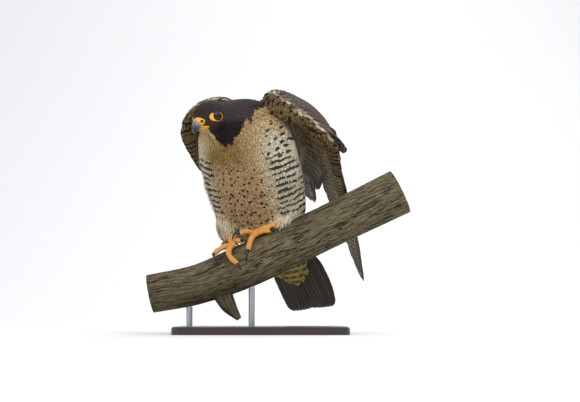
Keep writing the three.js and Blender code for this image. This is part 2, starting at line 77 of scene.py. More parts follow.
# The branch and its stub
PERCH_LINE = ((-176, 0, 63), (-98, 0, 79), (-19, 0, 110), (100, 0, 167), (219, 0, 225))
PERCH_RADII = (31, 32, 35.5, 35, 37)
STUB_LINE = ((-64, 0, 66), (-52, -1, 44), (-36, -2, 24))
STUB_RADII = (17, 13, 5)


def matrix_of(place: tuple, turn: Euler) -> np.ndarray:
    """A 4 by 4 matrix of a place and a turn.

    Args:
        place: The origin of the frame.
        turn: Its rotation.

    Returns:
        The matrix as an array.
    """
    return np.array(Matrix.Translation(place) @ turn.to_matrix().to_4x4())


BIRD = matrix_of(BIRD_PLACE, Euler((0, 0, BIRD_TURN)))
HEAD = matrix_of(HEAD_PLACE, Euler((0, 0, HEAD_TURN))) @ matrix_of((0, 0, 0), Euler((HEAD_NOD, 0, 0)))
HEAD_FRAME = BIRD @ HEAD


def moved(points: np.ndarray, matrix: np.ndarray) -> np.ndarray:
    """Points taken through a matrix.

    Args:
        points: Rows of x, y, z.
        matrix: A 4 by 4 matrix.

    Returns:
        The moved points.
    """
    return np.asarray(points, float) @ matrix[:3, :3].T + matrix[:3, 3]


def unit(vectors: np.ndarray) -> np.ndarray:
    """Vectors scaled to length 1, row by row."""
    vectors = np.asarray(vectors, float)
    return vectors / np.maximum(np.linalg.norm(vectors, axis=-1, keepdims=True), 1e-9)


def dots(a: np.ndarray, b: np.ndarray) -> np.ndarray:
    """Dot products, row by row."""
    return np.sum(np.asarray(a) * np.asarray(b), axis=-1)


def soft_step(x: np.ndarray, low: float, high: float) -> np.ndarray:
    """0 below low, 1 above high and smooth between; falls instead where high is below low."""
    t = np.clip((np.asarray(x, float) - low) / (high - low), 0, 1)
    return t * t * (3 - 2 * t)


def ring_angles(count: int) -> np.ndarray:
    """Angles of a ring's points."""
    return np.arange(count) / count * TURN


class Spline:
    """A smooth line through points, with the spacing of its bends by the square root of their distance."""

    def __init__(self, points: tuple) -> None:
        """Keep the points and one mirrored point past each end.

        Args:
            points: Rows of three numbers.
        """
        p = np.asarray(points, float)
        self.points = np.vstack([2 * p[0] - p[1], p, 2 * p[-1] - p[-2]])
        self.spans = len(p) - 1

    def at(self, t: np.ndarray) -> np.ndarray:
        """The points at shares t of the spline's parameter.

        Args:
            t: Shares from 0 to 1.

        Returns:
            One row for each share.
        """
        u = np.clip(np.atleast_1d(np.asarray(t, float)), 0, 1) * self.spans
        i = np.minimum(u.astype(int), self.spans - 1)
        w = (u - i)[:, None]
        p0, p1, p2, p3 = (self.points[i + k] for k in range(4))
        pairs = ((p0, p1), (p1, p2), (p2, p3))
        step = [np.sum((b - a) ** 2, axis=1, keepdims=True) ** 0.25 for a, b in pairs]
        d1 = np.where(step[1] < 1e-4, 1, step[1])
        d0 = np.where(step[0] < 1e-4, d1, step[0])
        d2 = np.where(step[2] < 1e-4, d1, step[2])
        m1 = ((p1 - p0) / d0 - (p2 - p0) / (d0 + d1) + (p2 - p1) / d1) * d1
        m2 = ((p2 - p1) / d1 - (p3 - p1) / (d1 + d2) + (p3 - p2) / d2) * d1
        return p1 + m1 * w + (3 * (p2 - p1) - 2 * m1 - m2) * w**2 + (2 * (p1 - p2) + m1 + m2) * w**3

    def tangent(self, t: np.ndarray) -> np.ndarray:
        """Unit directions at shares t."""
        t = np.atleast_1d(np.asarray(t, float))
        return unit(self.at(np.minimum(t + 1e-4, 1)) - self.at(np.maximum(t - 1e-4, 0)))

    def by_length(self, share: np.ndarray) -> np.ndarray:
        """The parameters at shares of the line's length.

        Args:
            share: Shares from 0 to 1.

        Returns:
            One parameter for each share.
        """
        fine = np.linspace(0, 1, 201)
        run = np.concatenate([[0], np.cumsum(np.linalg.norm(np.diff(self.at(fine), axis=0), axis=1))])
        return np.interp(np.asarray(share, float) * run[-1], run, fine)

    def length(self) -> float:
        """The line's length."""
        return float(np.sum(np.linalg.norm(np.diff(self.at(np.linspace(0, 1, 201)), axis=0), axis=1)))


@dataclass(frozen=True)
class Loft:
    """A rounded body through stations of x, y, z, half width, belly depth and back depth."""

    stations: tuple
    across: tuple = (1, 0, 0)
    caps: tuple = (0.12, 0.12)

    def frames(self, t: np.ndarray) -> tuple:
        """Centre, direction, side, belly direction and sizes at shares t of its path.

        Args:
            t: Shares from 0 to 1.

        Returns:
            Five arrays with one row for each share.
        """
        rows = np.asarray(self.stations, float)
        path, sizes = Spline(rows[:, :3]), Spline(rows[:, 3:])
        along = path.tangent(t)
        across = np.asarray(self.across, float)
        side = unit(across - along * (along @ across)[:, None])
        return path.at(t), along, side, np.cross(side, along), sizes.at(t)

    def rounding(self, t: np.ndarray) -> np.ndarray:
        """How full the section is near the ends.

        Args:
            t: Shares of the path.

        Returns:
            0 at a tip, rising to 1.
        """
        near = np.sqrt(np.clip(1 - np.maximum(0, 1 - t / self.caps[0]) ** 2, 0, 1))
        far = np.sqrt(np.clip(1 - np.maximum(0, 1 - (1 - t) / self.caps[1]) ** 2, 0, 1))
        return near * far

    def surface(self, t: np.ndarray, angle: np.ndarray, grow: float = 0) -> np.ndarray:
        """Points on the surface.

        Args:
            t: Shares of the path.
            angle: Angles, 0 at the side and a quarter turn at the belly.
            grow: How far out the surface is moved.

        Returns:
            One row for each share and angle.
        """
        centre, along, side, belly, size = self.frames(t)
        lift = np.sin(angle)
        depth = np.where(lift > 0, size[:, 1], size[:, 2])
        full = self.rounding(t)
        return (
            centre
            + side * (np.cos(angle) * (size[:, 0] + grow) * full)[:, None]
            + belly * (lift * (depth + grow) * full)[:, None]
            + along * (grow * (2 * t - 1))[:, None]
        )

    def shell(self, sides: int, rows: int, grow: float) -> tuple:
        """A closed mesh of the surface.

        Args:
            sides: Points in a ring.
            rows: Steps along.
            grow: How far out the surface is moved.

        Returns:
            Vertices and faces.
        """
        v = np.linspace(0, 1, rows + 1)[1:-1]
        t = (1 - np.cos(np.pi * v)) / 2
        angle = ring_angles(sides)
        tt, aa = np.meshgrid(t, angle, indexing="ij")
        ends = self.surface(np.array([0.0, 1.0]), np.zeros(2), grow)
        verts = np.vstack([self.surface(tt.ravel(), aa.ravel(), grow), ends])
        return verts, ring_faces(len(t), sides)

    def locate(self, points: np.ndarray, grow: float = 0) -> tuple:
        """Where points lie round the body.

        Args:
            points: Rows of x, y, z.
            grow: How far out the surface is moved.

        Returns:
            Share of the path, angle, rough distance to the surface and direction of the path.
        """
        t = np.linspace(0, 1, 49)
        centre, along, side, belly, size = self.frames(t)
        found = []
        for chunk in np.array_split(points, max(1, len(points) // 20000)):
            gap = chunk[:, None, :] - centre[None]
            found.append(np.argmin(np.sum(gap**2, axis=2) / np.mean(size, axis=1) ** 0.5, axis=1))
        k = np.concatenate(found)
        gap = points - centre[k]
        x, y, z = dots(gap, side[k]), dots(gap, belly[k]), dots(gap, along[k])
        full = np.maximum(self.rounding(t)[k], 0.35)
        wide = (size[k, 0] + grow) * full
        deep = (np.where(y > 0, size[k, 1], size[k, 2]) + grow) * full
        ratio = np.sqrt((x / wide) ** 2 + (y / deep) ** 2)
        beyond = np.where((k == 0) | (k == len(t) - 1), np.abs(z), 0)
        return t[k], np.arctan2(y / deep, x / wide), (ratio - 1) * np.minimum(wide, deep) + beyond, along[k]


def ring_faces(rings: int, sides: int) -> list:
    """Faces of stacked rings closed by a point at each end, the two end points coming last.

    Args:
        rings: How many rings.
        sides: Points in a ring.

    Returns:
        Lists of vertex numbers.
    """
    faces = []
    for r in range(rings - 1):
        for a in range(sides):
            b = (a + 1) % sides
            faces.append((r * sides + a, r * sides + b, (r + 1) * sides + b, (r + 1) * sides + a))
    first, last = rings * sides, rings * sides + 1
    for a in range(sides):
        b = (a + 1) % sides
        faces.append((first, b, a))
        faces.append((last, (rings - 1) * sides + a, (rings - 1) * sides + b))
    return faces


@dataclass(frozen=True)
class Limb:
    """A round limb along points with radii, such as a toe, a claw or the branch."""

    points: tuple
    radii: tuple
    sides: int = 24
    rows: int = 40
    bulge: float = 0.5

    def shell(self, shape: Callable | None = None) -> tuple:
        """A closed mesh.

        Args:
            shape: Takes shares along, angles, and gives the factor on the radius.

        Returns:
            Vertices, faces, shares along and angles.
        """
        path = Spline(self.points)
        sizes = Spline([(r, 0, 0) for r in self.radii])
        t = path.by_length(np.linspace(0, 1, self.rows + 1))
        centre, along, radius = path.at(t), path.tangent(t), sizes.at(t)[:, 0]
        side = np.zeros_like(along)
        start = np.eye(3)[int(np.argmin(np.abs(along[0])))]
        side[0] = unit(start - along[0] * (along[0] @ start))
        for i in range(1, len(side)):
            side[i] = unit(side[i - 1] - along[i] * (along[i] @ side[i - 1]))
        other = np.cross(along, side)
        bend = np.linspace(0, np.pi / 2, 5)[1:-1] if self.bulge else []
        rings = [(0, -self.bulge * np.cos(b), np.sin(b)) for b in bend]
        rings += [(i, 0.0, 1.0) for i in range(self.rows + 1)]
        rings += [(self.rows, self.bulge * np.sin(b), np.cos(b)) for b in bend]
        angle = ring_angles(self.sides)
        verts, shares, angles = [], [], []
        for i, push, full in rings:
            share = np.full(self.sides, i / self.rows)
            factor = shape(share, angle) if shape else np.ones(self.sides)
            ring = radius[i] * full * factor
            verts.append(
                centre[i] + along[i] * push * radius[i]
                + side[i] * (np.cos(angle) * ring)[:, None] + other[i] * (np.sin(angle) * ring)[:, None]
            )
            shares.append(share)
            angles.append(angle)
        ends = [
            centre[0] - along[0] * self.bulge * radius[0],
            centre[-1] + along[-1] * self.bulge * radius[-1],
        ]
        verts.append(np.array(ends))
        return (
            np.vstack(verts), ring_faces(len(rings), self.sides),
            np.concatenate(shares + [[0, 1]]), np.concatenate(angles + [[0, 0]]),
        )


def maths(operation: str, reflected: bool = False) -> Callable:
    """A method that adds one Math node.

    Args:
        operation: The node's operation.
        reflected: Whether the method's own socket comes last.

    Returns:
        The method.
    """
    def method(self: "Sock", *others: "Sock | float") -> "Sock":
        """A Math node on the socket and the others."""
        values = (*others, self) if reflected else (self, *others)
        return self.shader.sock("ShaderNodeMath", dict(enumerate(values)), operation=operation)
    return method


class Sock:
    """A shader socket that adds Math nodes as it is used in an expression."""

    def __init__(self, shader: "Shader", socket: bpy.types.NodeSocket) -> None:
        """Keep the socket and the shader that it is in."""
        self.shader = shader
        self.socket = socket

    __add__ = __radd__ = maths("ADD")
    __mul__ = __rmul__ = maths("MULTIPLY")
    __sub__ = maths("SUBTRACT")
    __rsub__ = maths("SUBTRACT", reflected=True)
    __truediv__ = maths("DIVIDE")
    __abs__ = maths("ABSOLUTE")
    sine = maths("SINE")
    most = maths("MAXIMUM")

    def ramp(self, low: float, high: float) -> "Sock":
        """0 at low, 1 at high and smooth between."""
        sockets = {0: self, 1: low, 2: high, 3: 0.0, 4: 1.0}
        return self.shader.sock("ShaderNodeMapRange", sockets, interpolation_type="SMOOTHSTEP")


class Nodes:
    """A node tree, built node by node."""

    def __init__(self, tree: bpy.types.NodeTree) -> None:
        """Keep the tree."""
        self.tree = tree

    def node(self, kind: str, sockets: dict | None = None, **settings: object) -> bpy.types.Node:
        """Add a node.

        Args:
            kind: The node's type.
            sockets: Values or links of its inputs, by name or number.
            settings: Its own settings, set first.

        Returns:
            The node.
        """
        made = self.tree.nodes.new(kind)
        for key, value in settings.items():
            setattr(made, key, value)
        for key, value in (sockets or {}).items():
            self.feed(made.inputs[key], value)
        return made

    def feed(self, socket: bpy.types.NodeSocket, value: object) -> None:
        """Link or set one input.

        Args:
            socket: The input.
            value: A socket to link, or a value; a colour has three parts.
        """
        value = value.socket if isinstance(value, Sock) else value
        if isinstance(value, bpy.types.NodeSocket):
            self.tree.links.new(value, socket)
        else:
            socket.default_value = (*value, 1) if socket.type == "RGBA" else value


class Shader(Nodes):
    """A material and its surface."""

    def __init__(self, name: str) -> None:
        """Start an empty material with its surface shader.

        Args:
            name: The material's name.
        """
        self.material = bpy.data.materials.new(name)
        self.material.use_nodes = True
        super().__init__(self.material.node_tree)
        self.tree.nodes.clear()
        self.surface = self.node("ShaderNodeBsdfPrincipled")
        self.node("ShaderNodeOutputMaterial", {"Surface": self.surface.outputs[0]})

    def sock(self, kind: str, sockets: dict | None = None, output: int | str = 0, **settings: object) -> Sock:
        """One output of a new node, for use in expressions."""
        return Sock(self, self.node(kind, sockets, **settings).outputs[output])

    def fact(self, name: str, output: str = "Fac") -> Sock:
        """The piece's own attribute, as a number, a Color or a Vector."""
        return self.sock("ShaderNodeAttribute", output=output, attribute_name=name)

    def split(self, vector: Sock) -> list:
        """The three coordinates of a vector."""
        return [Sock(self, part) for part in self.node("ShaderNodeSeparateXYZ", {0: vector}).outputs]

    def place(self, scale: tuple = (1, 1, 1), turn: tuple = (0, 0, 0)) -> Sock:
        """Object coordinates, scaled and turned."""
        coordinates = self.sock("ShaderNodeTexCoord", output="Object")
        return self.sock("ShaderNodeMapping", {"Vector": coordinates, "Rotation": turn, "Scale": scale})

    def uv(self, name: str) -> list:
        """The two coordinates of the piece's own UV map."""
        return self.split(self.sock("ShaderNodeUVMap", uv_map=name))[:2]

    def noise(self, scale: float, detail: float = 3, rough: float = 0.5, at: Sock | None = None) -> Sock:
        """Noise from 0 to 1, on object coordinates or at others.

        Args:
            scale: How fine it is.
            detail: Its finer layers.
            rough: How strong they are.
            at: Where it is read, if not on object coordinates.

        Returns:
            The noise.
        """
        at = at or self.place()
        sockets = {"Scale": scale, "Detail": detail, "Roughness": rough, "Vector": at}
        return self.sock("ShaderNodeTexNoise", sockets)

    def vector(self, x: object, y: object, z: object = 0.0) -> Sock:
        """A vector of three values."""
        return self.sock("ShaderNodeCombineXYZ", {0: x, 1: y, 2: z})

    def mix(self, factor: object, a: object, b: object, blend_type: str = "MIX") -> Sock:
        """A mix of two colours."""
        return self.sock("ShaderNodeMix", {0: factor, 6: a, 7: b}, 2, data_type="RGBA", blend_type=blend_type)

    def lit(self, color: object, light: Sock) -> Sock:
        """A colour times a light."""
        return self.mix(1.0, color, self.vector(light, light, light), "MULTIPLY")

    def bump(self, height: Sock, strength: float, distance: float) -> None:
        """A bump that feeds the surface's normal."""
        sockets = {"Height": height, "Strength": strength, "Distance": distance}
        self.feed(self.surface.inputs["Normal"], self.sock("ShaderNodeBump", sockets))

    def dress(self, **sockets: object) -> bpy.types.Material:
        """Feed the surface's inputs.

        Args:
            sockets: Values or links by the inputs' names, in small letters with underscores.

        Returns:
            The finished material.
        """
        for key, value in sockets.items():
            self.feed(self.surface.inputs[key.replace("_", " ").title().replace("Ior", "IOR")], value)
        return self.material


def linear(*screen: int) -> tuple:
    """A screen colour, 0 to 255 each, as the linear colour that shaders use."""
    parts = (value / 255 for value in screen)
    return tuple(c / 12.92 if c <= 0.04045 else ((c + 0.055) / 1.055) ** 2.4 for c in parts)


class Tone(Enum):
    """The colours of the plumage."""

    HOOD = linear(64, 55, 55)
    CHEEK = linear(74, 65, 64)
    MALAR = linear(36, 30, 31)
    MANTLE = linear(84, 75, 71)
    RUMP = linear(112, 109, 110)
    THROAT = linear(206, 182, 124)
    BREAST = linear(188, 158, 114)
    # A yellow wash on the breast's centre, darkened much further as painted shade beneath the head.
    SHADED_WASH = linear(124, 94, 40)
    BELLY = linear(182, 148, 108)
    FLANK = linear(222, 211, 184)
    LINING = linear(108, 87, 54)
    EDGE = linear(206, 196, 172)
    TROUSER = linear(220, 204, 168)
    VENT = linear(136, 118, 72)
    INK = linear(24, 20, 21)

    def array(self) -> np.ndarray:
        """The colour as an array."""
        return np.array(self.value)


def blend(base: np.ndarray, tone: Tone, share: np.ndarray) -> np.ndarray:
    """Rows of colour moved towards a tone by shares."""
    return base + (tone.array() - base) * share[:, None]


@dataclass(frozen=True)
class Marks:
    """Dark bars across the lie of the feathers, and small drops in cells that change at a height in metres."""

    gap: float = 9.6
    wobble: tuple = (1.3, 0.36)
    low_cells: tuple = (96, 106)
    high_cells: tuple = (128, 66)
    lean: tuple = (0.84, 0.54)
    change: tuple = (0.256, 0.27)
    drop: tuple = (0.09, 0.17)

    def mask(self, s: Shader, run: Sock, bars: Sock, drops: Sock) -> Sock:
        """The mask of the dark marks.

        Args:
            s: The material.
            run: Millimetres along the lie of the feathers.
            bars: How strong the bars are here.
            drops: How strong the drops are.

        Returns:
            1 on a mark and 0 off it.
        """
        wave = s.noise(30, 2) - 0.5
        ripple = s.noise(150, 2) - 0.5
        wavy = run / self.gap + wave * self.wobble[0] + ripple * self.wobble[1]
        stripe = ((wavy * TURN).sine() + (bars * 0.6 - 0.36)).ramp(0.28, 0.66)
        kept = (s.noise(62, 2) + bars * 0.8 - 1.17).ramp(0.0, 0.06)
        x, _, z = s.split(s.place(turn=(0, 0, -BIRD_TURN)))
        along, across = self.lean
        places = ((x, z, *self.low_cells), (x * along - z * across, x * across + z * along, *self.high_cells))
        low, high = (s.vector(a * fine + wave * 0.3, b * tall + ripple * 0.3) for a, b, fine, tall in places)
        sockets = {"Vector": s.mix(z.ramp(*self.change), low, high), "Scale": 1.0, "Randomness": 0.85}
        away = s.sock("ShaderNodeTexVoronoi", sockets, voronoi_dimensions="2D")
        size = drops * (self.drop[0] + self.drop[1] * s.noise(90, 1))
        dot = 1 - (away - size).ramp(-0.03, 0.05)
        return (stripe * kept * bars.ramp(0.05, 0.2)).most(dot * drops.ramp(0.1, 0.3))


@dataclass(frozen=True)
class PlumageFinish:
    """Feathers: each reads its colour and how strongly it is marked, and the marks run over its neighbours."""

    name: str = "plumage"
    roughness: float = 0.78
    barbs: float = 34.0
    rim: tuple = linear(190, 180, 162)

    def make(self) -> bpy.types.Material:
        """Build the material.

        Returns:
            The material.
        """
        s = Shader(self.name)
        u, v = s.uv("vane")
        seed = s.fact("seed")
        off = abs(u - 0.5) * 2
        bars, drops, rims = s.split(s.fact("marks", "Vector"))
        grain = s.noise(1.0, 3, 0.6, s.vector(off * 1.6 + seed * 40, (v - off * 0.25) * self.barbs, seed * 9))
        # light multiplies barb grain and random tone, and adds painted light that brightens each feather
        # towards its tip.
        light = 0.88 + 0.16 * grain + 0.24 * (s.noise(42, 3, 0.55) - 0.5) + 0.05 * v.ramp(0.55, 1.0)
        run = s.fact("run") + v * s.fact("long") + (seed - 0.5) * 1.6
        mask = Marks().mask(s, run, bars, drops)
        inked = s.mix(mask * 0.93, s.lit(s.fact("tone", "Color"), light), Tone.INK.value)
        edge = (off * off * 0.7 + v * v * 0.4).ramp(0.7, 0.95) * rims
        rimmed = s.mix(edge, inked, s.mix(0.55, inked, self.rim))
        s.bump(grain, 0.18, 0.0003)
        return s.dress(base_color=rimmed, roughness=self.roughness, specular_ior_level=0.12)


@dataclass(frozen=True)
class SkinFinish:
    """The body under the feathers, in the same colours and marks."""

    name: str = "under_plumage"

    def make(self) -> bpy.types.Material:
        """Build the material.

        Returns:
            The material.
        """
        s = Shader(self.name)
        bars, drops, _ = s.split(s.fact("marks", "Vector"))
        fine = s.noise(700, 4)
        base = s.mix(fine * 0.3, s.fact("tone", "Color"), Tone.INK.value)
        inked = s.mix(Marks().mask(s, s.fact("run"), bars, drops) * 0.9, base, Tone.INK.value)
        s.bump(fine, 0.3, 0.0005)
        return s.dress(base_color=inked, roughness=0.9, specular_ior_level=0.15)


@dataclass(frozen=True)
class QuillFinish:
    """Flight feathers: dark above, barred on the inner web below, with a pale shaft."""

    name: str = "flight_feather"
    above: tuple = linear(66, 57, 51)
    below: tuple = linear(86, 72, 55)
    bar: tuple = linear(158, 140, 108)
    shaft: tuple = linear(196, 184, 160)
    tip: tuple = linear(40, 33, 31)
    rim: tuple = linear(196, 182, 156)
    period: float = 10.5
    pale: float = 0.9

    def make(self) -> bpy.types.Material:
        """Build the material.

        Returns:
            The material.
        """
        s = Shader(self.name)
        u, v = s.uv("vane")
        under, seed, barred, long = (s.fact(name) for name in ("under", "seed", "barred", "long"))
        off = abs(u)
        barbs = s.noise(1.0, 3, 0.6, s.vector((v * long - off * 7) * 1.1, off * 2 + seed * 20, seed * 11))
        base = s.lit(s.mix(under, self.above, self.below), 0.8 + 0.4 * barbs)
        wave = s.noise(1.0, 2, 0.5, s.vector(u * 3, v * long * 0.05 + seed * 10, seed * 7)) - 0.5
        run = (v * long + off * 5 + wave * 6 + seed * 3) / self.period
        stripe = ((run * TURN).sine() + 0.1).ramp(0.05, 0.5)
        inner = (0.12 - u).ramp(0.0, 0.2) * (1 - v.ramp(0.8, 0.96))
        patterned = s.mix(stripe * inner * barred * (under * self.pale + 0.16), base, self.bar)
        tipped = s.mix(v.ramp(0.55, 0.95) * 0.6, patterned, self.tip)
        edged = s.mix(off.ramp(0.86, 0.98).most(v.ramp(0.965, 0.99)) * 0.5 * barred, tipped, self.rim)
        shaft = (1 - off.ramp(0.02, 0.05)) * (under * 0.75 + 0.12) * (1 - v.ramp(0.6, 1.0) * 0.8)
        s.bump(barbs, 0.3, 0.0004)
        return s.dress(base_color=s.mix(shaft, edged, self.shaft), roughness=0.55, specular_ior_level=0.3)


@dataclass(frozen=True)
class LiningFinish:
    """Coverts of the wing's underside: olive-buff with dark wavy bars."""

    name: str = "wing_lining"
    buff: tuple = linear(124, 102, 62)
    pale: tuple = linear(170, 148, 104)
    bar: tuple = linear(32, 25, 20)
    period: float = 7.6

    def make(self) -> bpy.types.Material:
        """Build the material.

        Returns:
            The material.
        """
        s = Shader(self.name)
        u, v = s.uv("vane")
        seed, long, barred = (s.fact(name) for name in ("seed", "long", "barred"))
        off = abs(u)
        barbs = s.noise(1.0, 3, 0.6, s.vector((v * long - off * 5) * 1.1, off * 2 + seed * 20, seed * 11))
        base = s.lit(s.mix(seed, self.buff, self.pale), 0.84 + 0.32 * barbs)
        wave = s.noise(1.0, 2, 0.5, s.vector(u * 2, v * long * 0.06 + seed * 10, seed * 7)) - 0.5
        run = (v * long + off * off * 3.5 + wave * 4 + seed * 1.5) / self.period
        stripe = (run * TURN).sine().ramp(-0.3, 0.1)
        edge = off.ramp(0.8, 0.95).most(v.ramp(0.93, 0.98))
        marked = s.mix(stripe * (1 - edge * 0.8) * barred, base, self.bar)
        s.bump(barbs, 0.25, 0.0004)
        return s.dress(base_color=s.mix(edge * 0.45, marked, self.pale), roughness=0.7, specular_ior_level=0.2)


@dataclass(frozen=True)
class EyeFinish:
    """A very dark glossy eye with a black pupil."""

    name: str = "eye"
    iris: tuple = (linear(46, 27, 16), linear(24, 14, 9))
    pupil: tuple = (0.002, 0.002, 0.002)
    pupil_edge: tuple = (4.0, 4.5)

    def make(self) -> bpy.types.Material:
        """Build the material.

        Returns:
            The material.
        """
        s = Shader(self.name)
        inside = 1 - s.fact("off").ramp(*self.pupil_edge)
        base = s.mix(inside, s.mix(s.noise(900, 3), *self.iris), self.pupil)
        return s.dress(base_color=base, roughness=0.06, specular_ior_level=0.36)


@dataclass(frozen=True)
class BareSkinFinish:
    """Bare yellow skin of the cere, the ring round the eye and the feet, with painted shade in its scale
    grooves, its nostrils and along the top of the eye ring.
    """

    name: str
    color: tuple
    # dark is painted shade: the colour put in the grooves between scales and in creases.
    dark: tuple
    pale: tuple
    grain: float
    groove: float
    # The near-black is painted shade, for the insides of the nostrils and the eye ring's top under the brow.
    deep_shade: tuple = (0.012, 0.007, 0.004)

    def make(self) -> bpy.types.Material:
        """Build the material.

        Returns:
            The material.
        """
        s = Shader(self.name)
        sockets = {"Vector": s.place(), "Scale": self.grain}
        # Painted shade darkens the grooves between the scales.
        edge = s.sock("ShaderNodeTexVoronoi", sockets, feature="DISTANCE_TO_EDGE").ramp(0.0, 0.12)
        low = s.fact("low")
        light = s.mix(s.noise(120, 3), self.color, self.pale)
        base = s.mix(edge * self.groove + (1 - self.groove), self.dark, light)
        # The low attribute gives painted shade: creases go towards dark, and the nostrils and the ring's top go
        # near-black.
        painted_shade = s.mix(low.ramp(0.0, 0.5) * 0.8, base, self.dark)
        s.bump(edge, 0.25, 0.0003)
        deep_shaded = s.mix(low.ramp(0.6, 1.0), painted_shade, self.deep_shade)
        return s.dress(base_color=deep_shaded, roughness=0.42, specular_ior_level=0.45)


@dataclass(frozen=True)
class HornFinish:
    """Horn of the bill and claws, darker to the tip, its first share flushed by the skin at its root."""

    name: str
    base: tuple
    tip: tuple
    low: float
    high: float
    root: tuple = linear(226, 152, 40)
    flush: float = 0.02

    def make(self) -> bpy.types.Material:
        """Build the material.

        Returns:
            The material.
        """
        s = Shader(self.name)
        share = s.fact("share")
        streak = s.noise(300, 4, 0.6, s.place((1, 1, 5)))
        base = s.mix((share + (streak - 0.5) * 0.2).ramp(self.low, self.high), self.base, self.tip)
        tinge = 1 - (share + (streak - 0.5) * 0.1).ramp(self.flush - 0.1, self.flush + 0.1)
        s.bump(streak, 0.12, 0.0002)
        color = s.mix(tinge, base, self.root)
        return s.dress(base_color=color, roughness=0.26 + 0.2 * streak, coat_weight=0.35)


@dataclass(frozen=True)
class WoodFinish:
    """Grey weathered wood without bark, grained along the branch, with painted shade in its cracks and deep
    grooves.
    """

    name: str = "weathered_wood"
    pale: tuple = linear(128, 117, 92)
    mid: tuple = linear(73, 63, 43)
    # dark is the fibres' own colour, and also painted shade in the cracks and deep grooves.
    dark: tuple = linear(25, 19, 14)
    patch: tuple = linear(74, 61, 42)
    fleck: tuple = linear(176, 166, 140)
    lichen: tuple = linear(140, 138, 60)
    sawn: tuple = (linear(196, 172, 134), linear(150, 122, 86))

    def make(self) -> bpy.types.Material:
        """Build the material.

        Returns:
            The material.
        """
        s = Shader(self.name)
        u, v = s.uv("bark")
        streaks = ((5, 0.65, 420, 50), (4, 0.7, 1400, 110), (3, 0.5, 110, 8), (2, 0.5, 700, 230))
        grain, fibre, split, dots = (
            s.noise(1.0, detail, rough, s.vector(u * fine, v * tall)) for detail, rough, fine, tall in streaks
        )
        split = abs(split - 0.5)
        tone = s.mix(grain.ramp(0.34, 0.66), self.mid, self.pale)
        for share, color in (
            (s.noise(14, 4).ramp(0.45, 0.75) * 0.5, self.patch),
            (fibre.ramp(0.5, 0.68) * 0.6, self.dark),
            # Painted shade: the drawn cracks and the places where the grooves are deep go dark.
            ((1 - split.ramp(0.0, 0.032)) * 0.9, self.dark),
            (s.fact("depth").ramp(0.3, 0.8), self.dark),
            (dots.ramp(0.62, 0.72) * s.noise(9, 2).ramp(0.4, 0.6) * 0.6, self.fleck),
            (s.noise(55, 5, 0.6).ramp(0.69, 0.74) * 0.7, self.lichen),
        ):
            tone = s.mix(share, tone, color)
        rings = ((s.fact("ring") * 46 + s.noise(40, 3) * 2.5).sine() * 0.5 + 0.5) * 0.6
        base = s.mix(s.fact("cut"), tone, s.mix(rings, *self.sawn))
        s.bump(grain * 0.5 + fibre * 0.3 + split.ramp(0.0, 0.04), 0.7, 0.0012)
        return s.dress(base_color=base, roughness=0.88, specular_ior_level=0.2)


@dataclass(frozen=True)
class PlateFinish:
    """Dark stained wood of the base, with a satin varnish."""

    name: str = "stand_plate"
    stain: tuple = (linear(52, 38, 30), linear(30, 22, 18))

    def make(self) -> bpy.types.Material:
        """Build the material.

        Returns:
            The material.
        """
        s = Shader(self.name)
        grain = s.noise(26, 5, 0.6, s.place((1, 14, 14)))
        base = s.mix(grain.ramp(0.35, 0.7), *self.stain)
        s.bump(grain, 0.1, 0.0004)
        return s.dress(base_color=base, roughness=0.3 + 0.18 * grain, coat_weight=0.25, coat_roughness=0.2)


@dataclass(frozen=True)
class RodFinish:
    """Brushed steel of the rods."""

    name: str = "stand_rod"
    steel: tuple = (linear(150, 152, 156), linear(188, 190, 194))

    def make(self) -> bpy.types.Material:
        """Build the material.

        Returns:
            The material.
        """
        s = Shader(self.name)
        lines = s.noise(60, 4, 0.7, s.place((1, 1, 30)))
        base = s.mix(lines, *self.steel)
        s.bump(lines, 0.08, 0.0002)
        return s.dress(base_color=base, metallic=1.0, roughness=0.26 + 0.16 * lines)


def mesh_object(name: str, verts: np.ndarray, faces: list, matrix: np.ndarray) -> bpy.types.Object:
    """A mesh object at the origin, its millimetres taken through a frame into metres.

    Args:
        name: The piece's name.
        verts: Rows of x, y, z in millimetres.
        faces: Lists of vertex numbers.
        matrix: The frame that the points are in.

    Returns:
        The object, linked to the scene.
    """
    mesh = bpy.data.meshes.new(name)
    mesh.from_pydata((moved(verts, matrix) * MM).tolist(), [], [tuple(f) for f in faces])
    mesh.validate()
    return linked(name, mesh)


def linked(name: str, data: bpy.types.ID) -> bpy.types.Object:
    """A new object in the scene.

    Args:
        name: Its name.
        data: Its mesh, camera or light.

    Returns:
        The object.
    """
    made = bpy.data.objects.new(name, data)
    bpy.context.scene.collection.objects.link(made)
    return made


def stacked(meshes: list) -> tuple:
    """Several meshes as one.

    Args:
        meshes: Vertices and faces of each, and perhaps more.

    Returns:
        Vertices and faces.
    """
    faces, count = [], 0
    for verts, own, *_ in meshes:
        faces += [tuple(k + count for k in f) for f in own]
        count += len(verts)
    return np.vstack([mesh[0] for mesh in meshes]), faces


def smooth(piece: bpy.types.Object) -> None:
    """Shade a piece smooth."""
    piece.data.polygons.foreach_set("use_smooth", np.ones(len(piece.data.polygons), bool))


def outward(piece: bpy.types.Object) -> None:
    """Turn a closed mesh's faces outwards.

    Args:
        piece: The piece with the mesh.
    """
    corners = np.array([v.co for v in piece.data.vertices], float)
    piece.data.calc_loop_triangles()
    tris = np.array([t.vertices for t in piece.data.loop_triangles])
    a, b, c = (corners[tris[:, k]] for k in range(3))
    if np.sum(dots(a, np.cross(b, c))) < 0:
        piece.data.flip_normals()


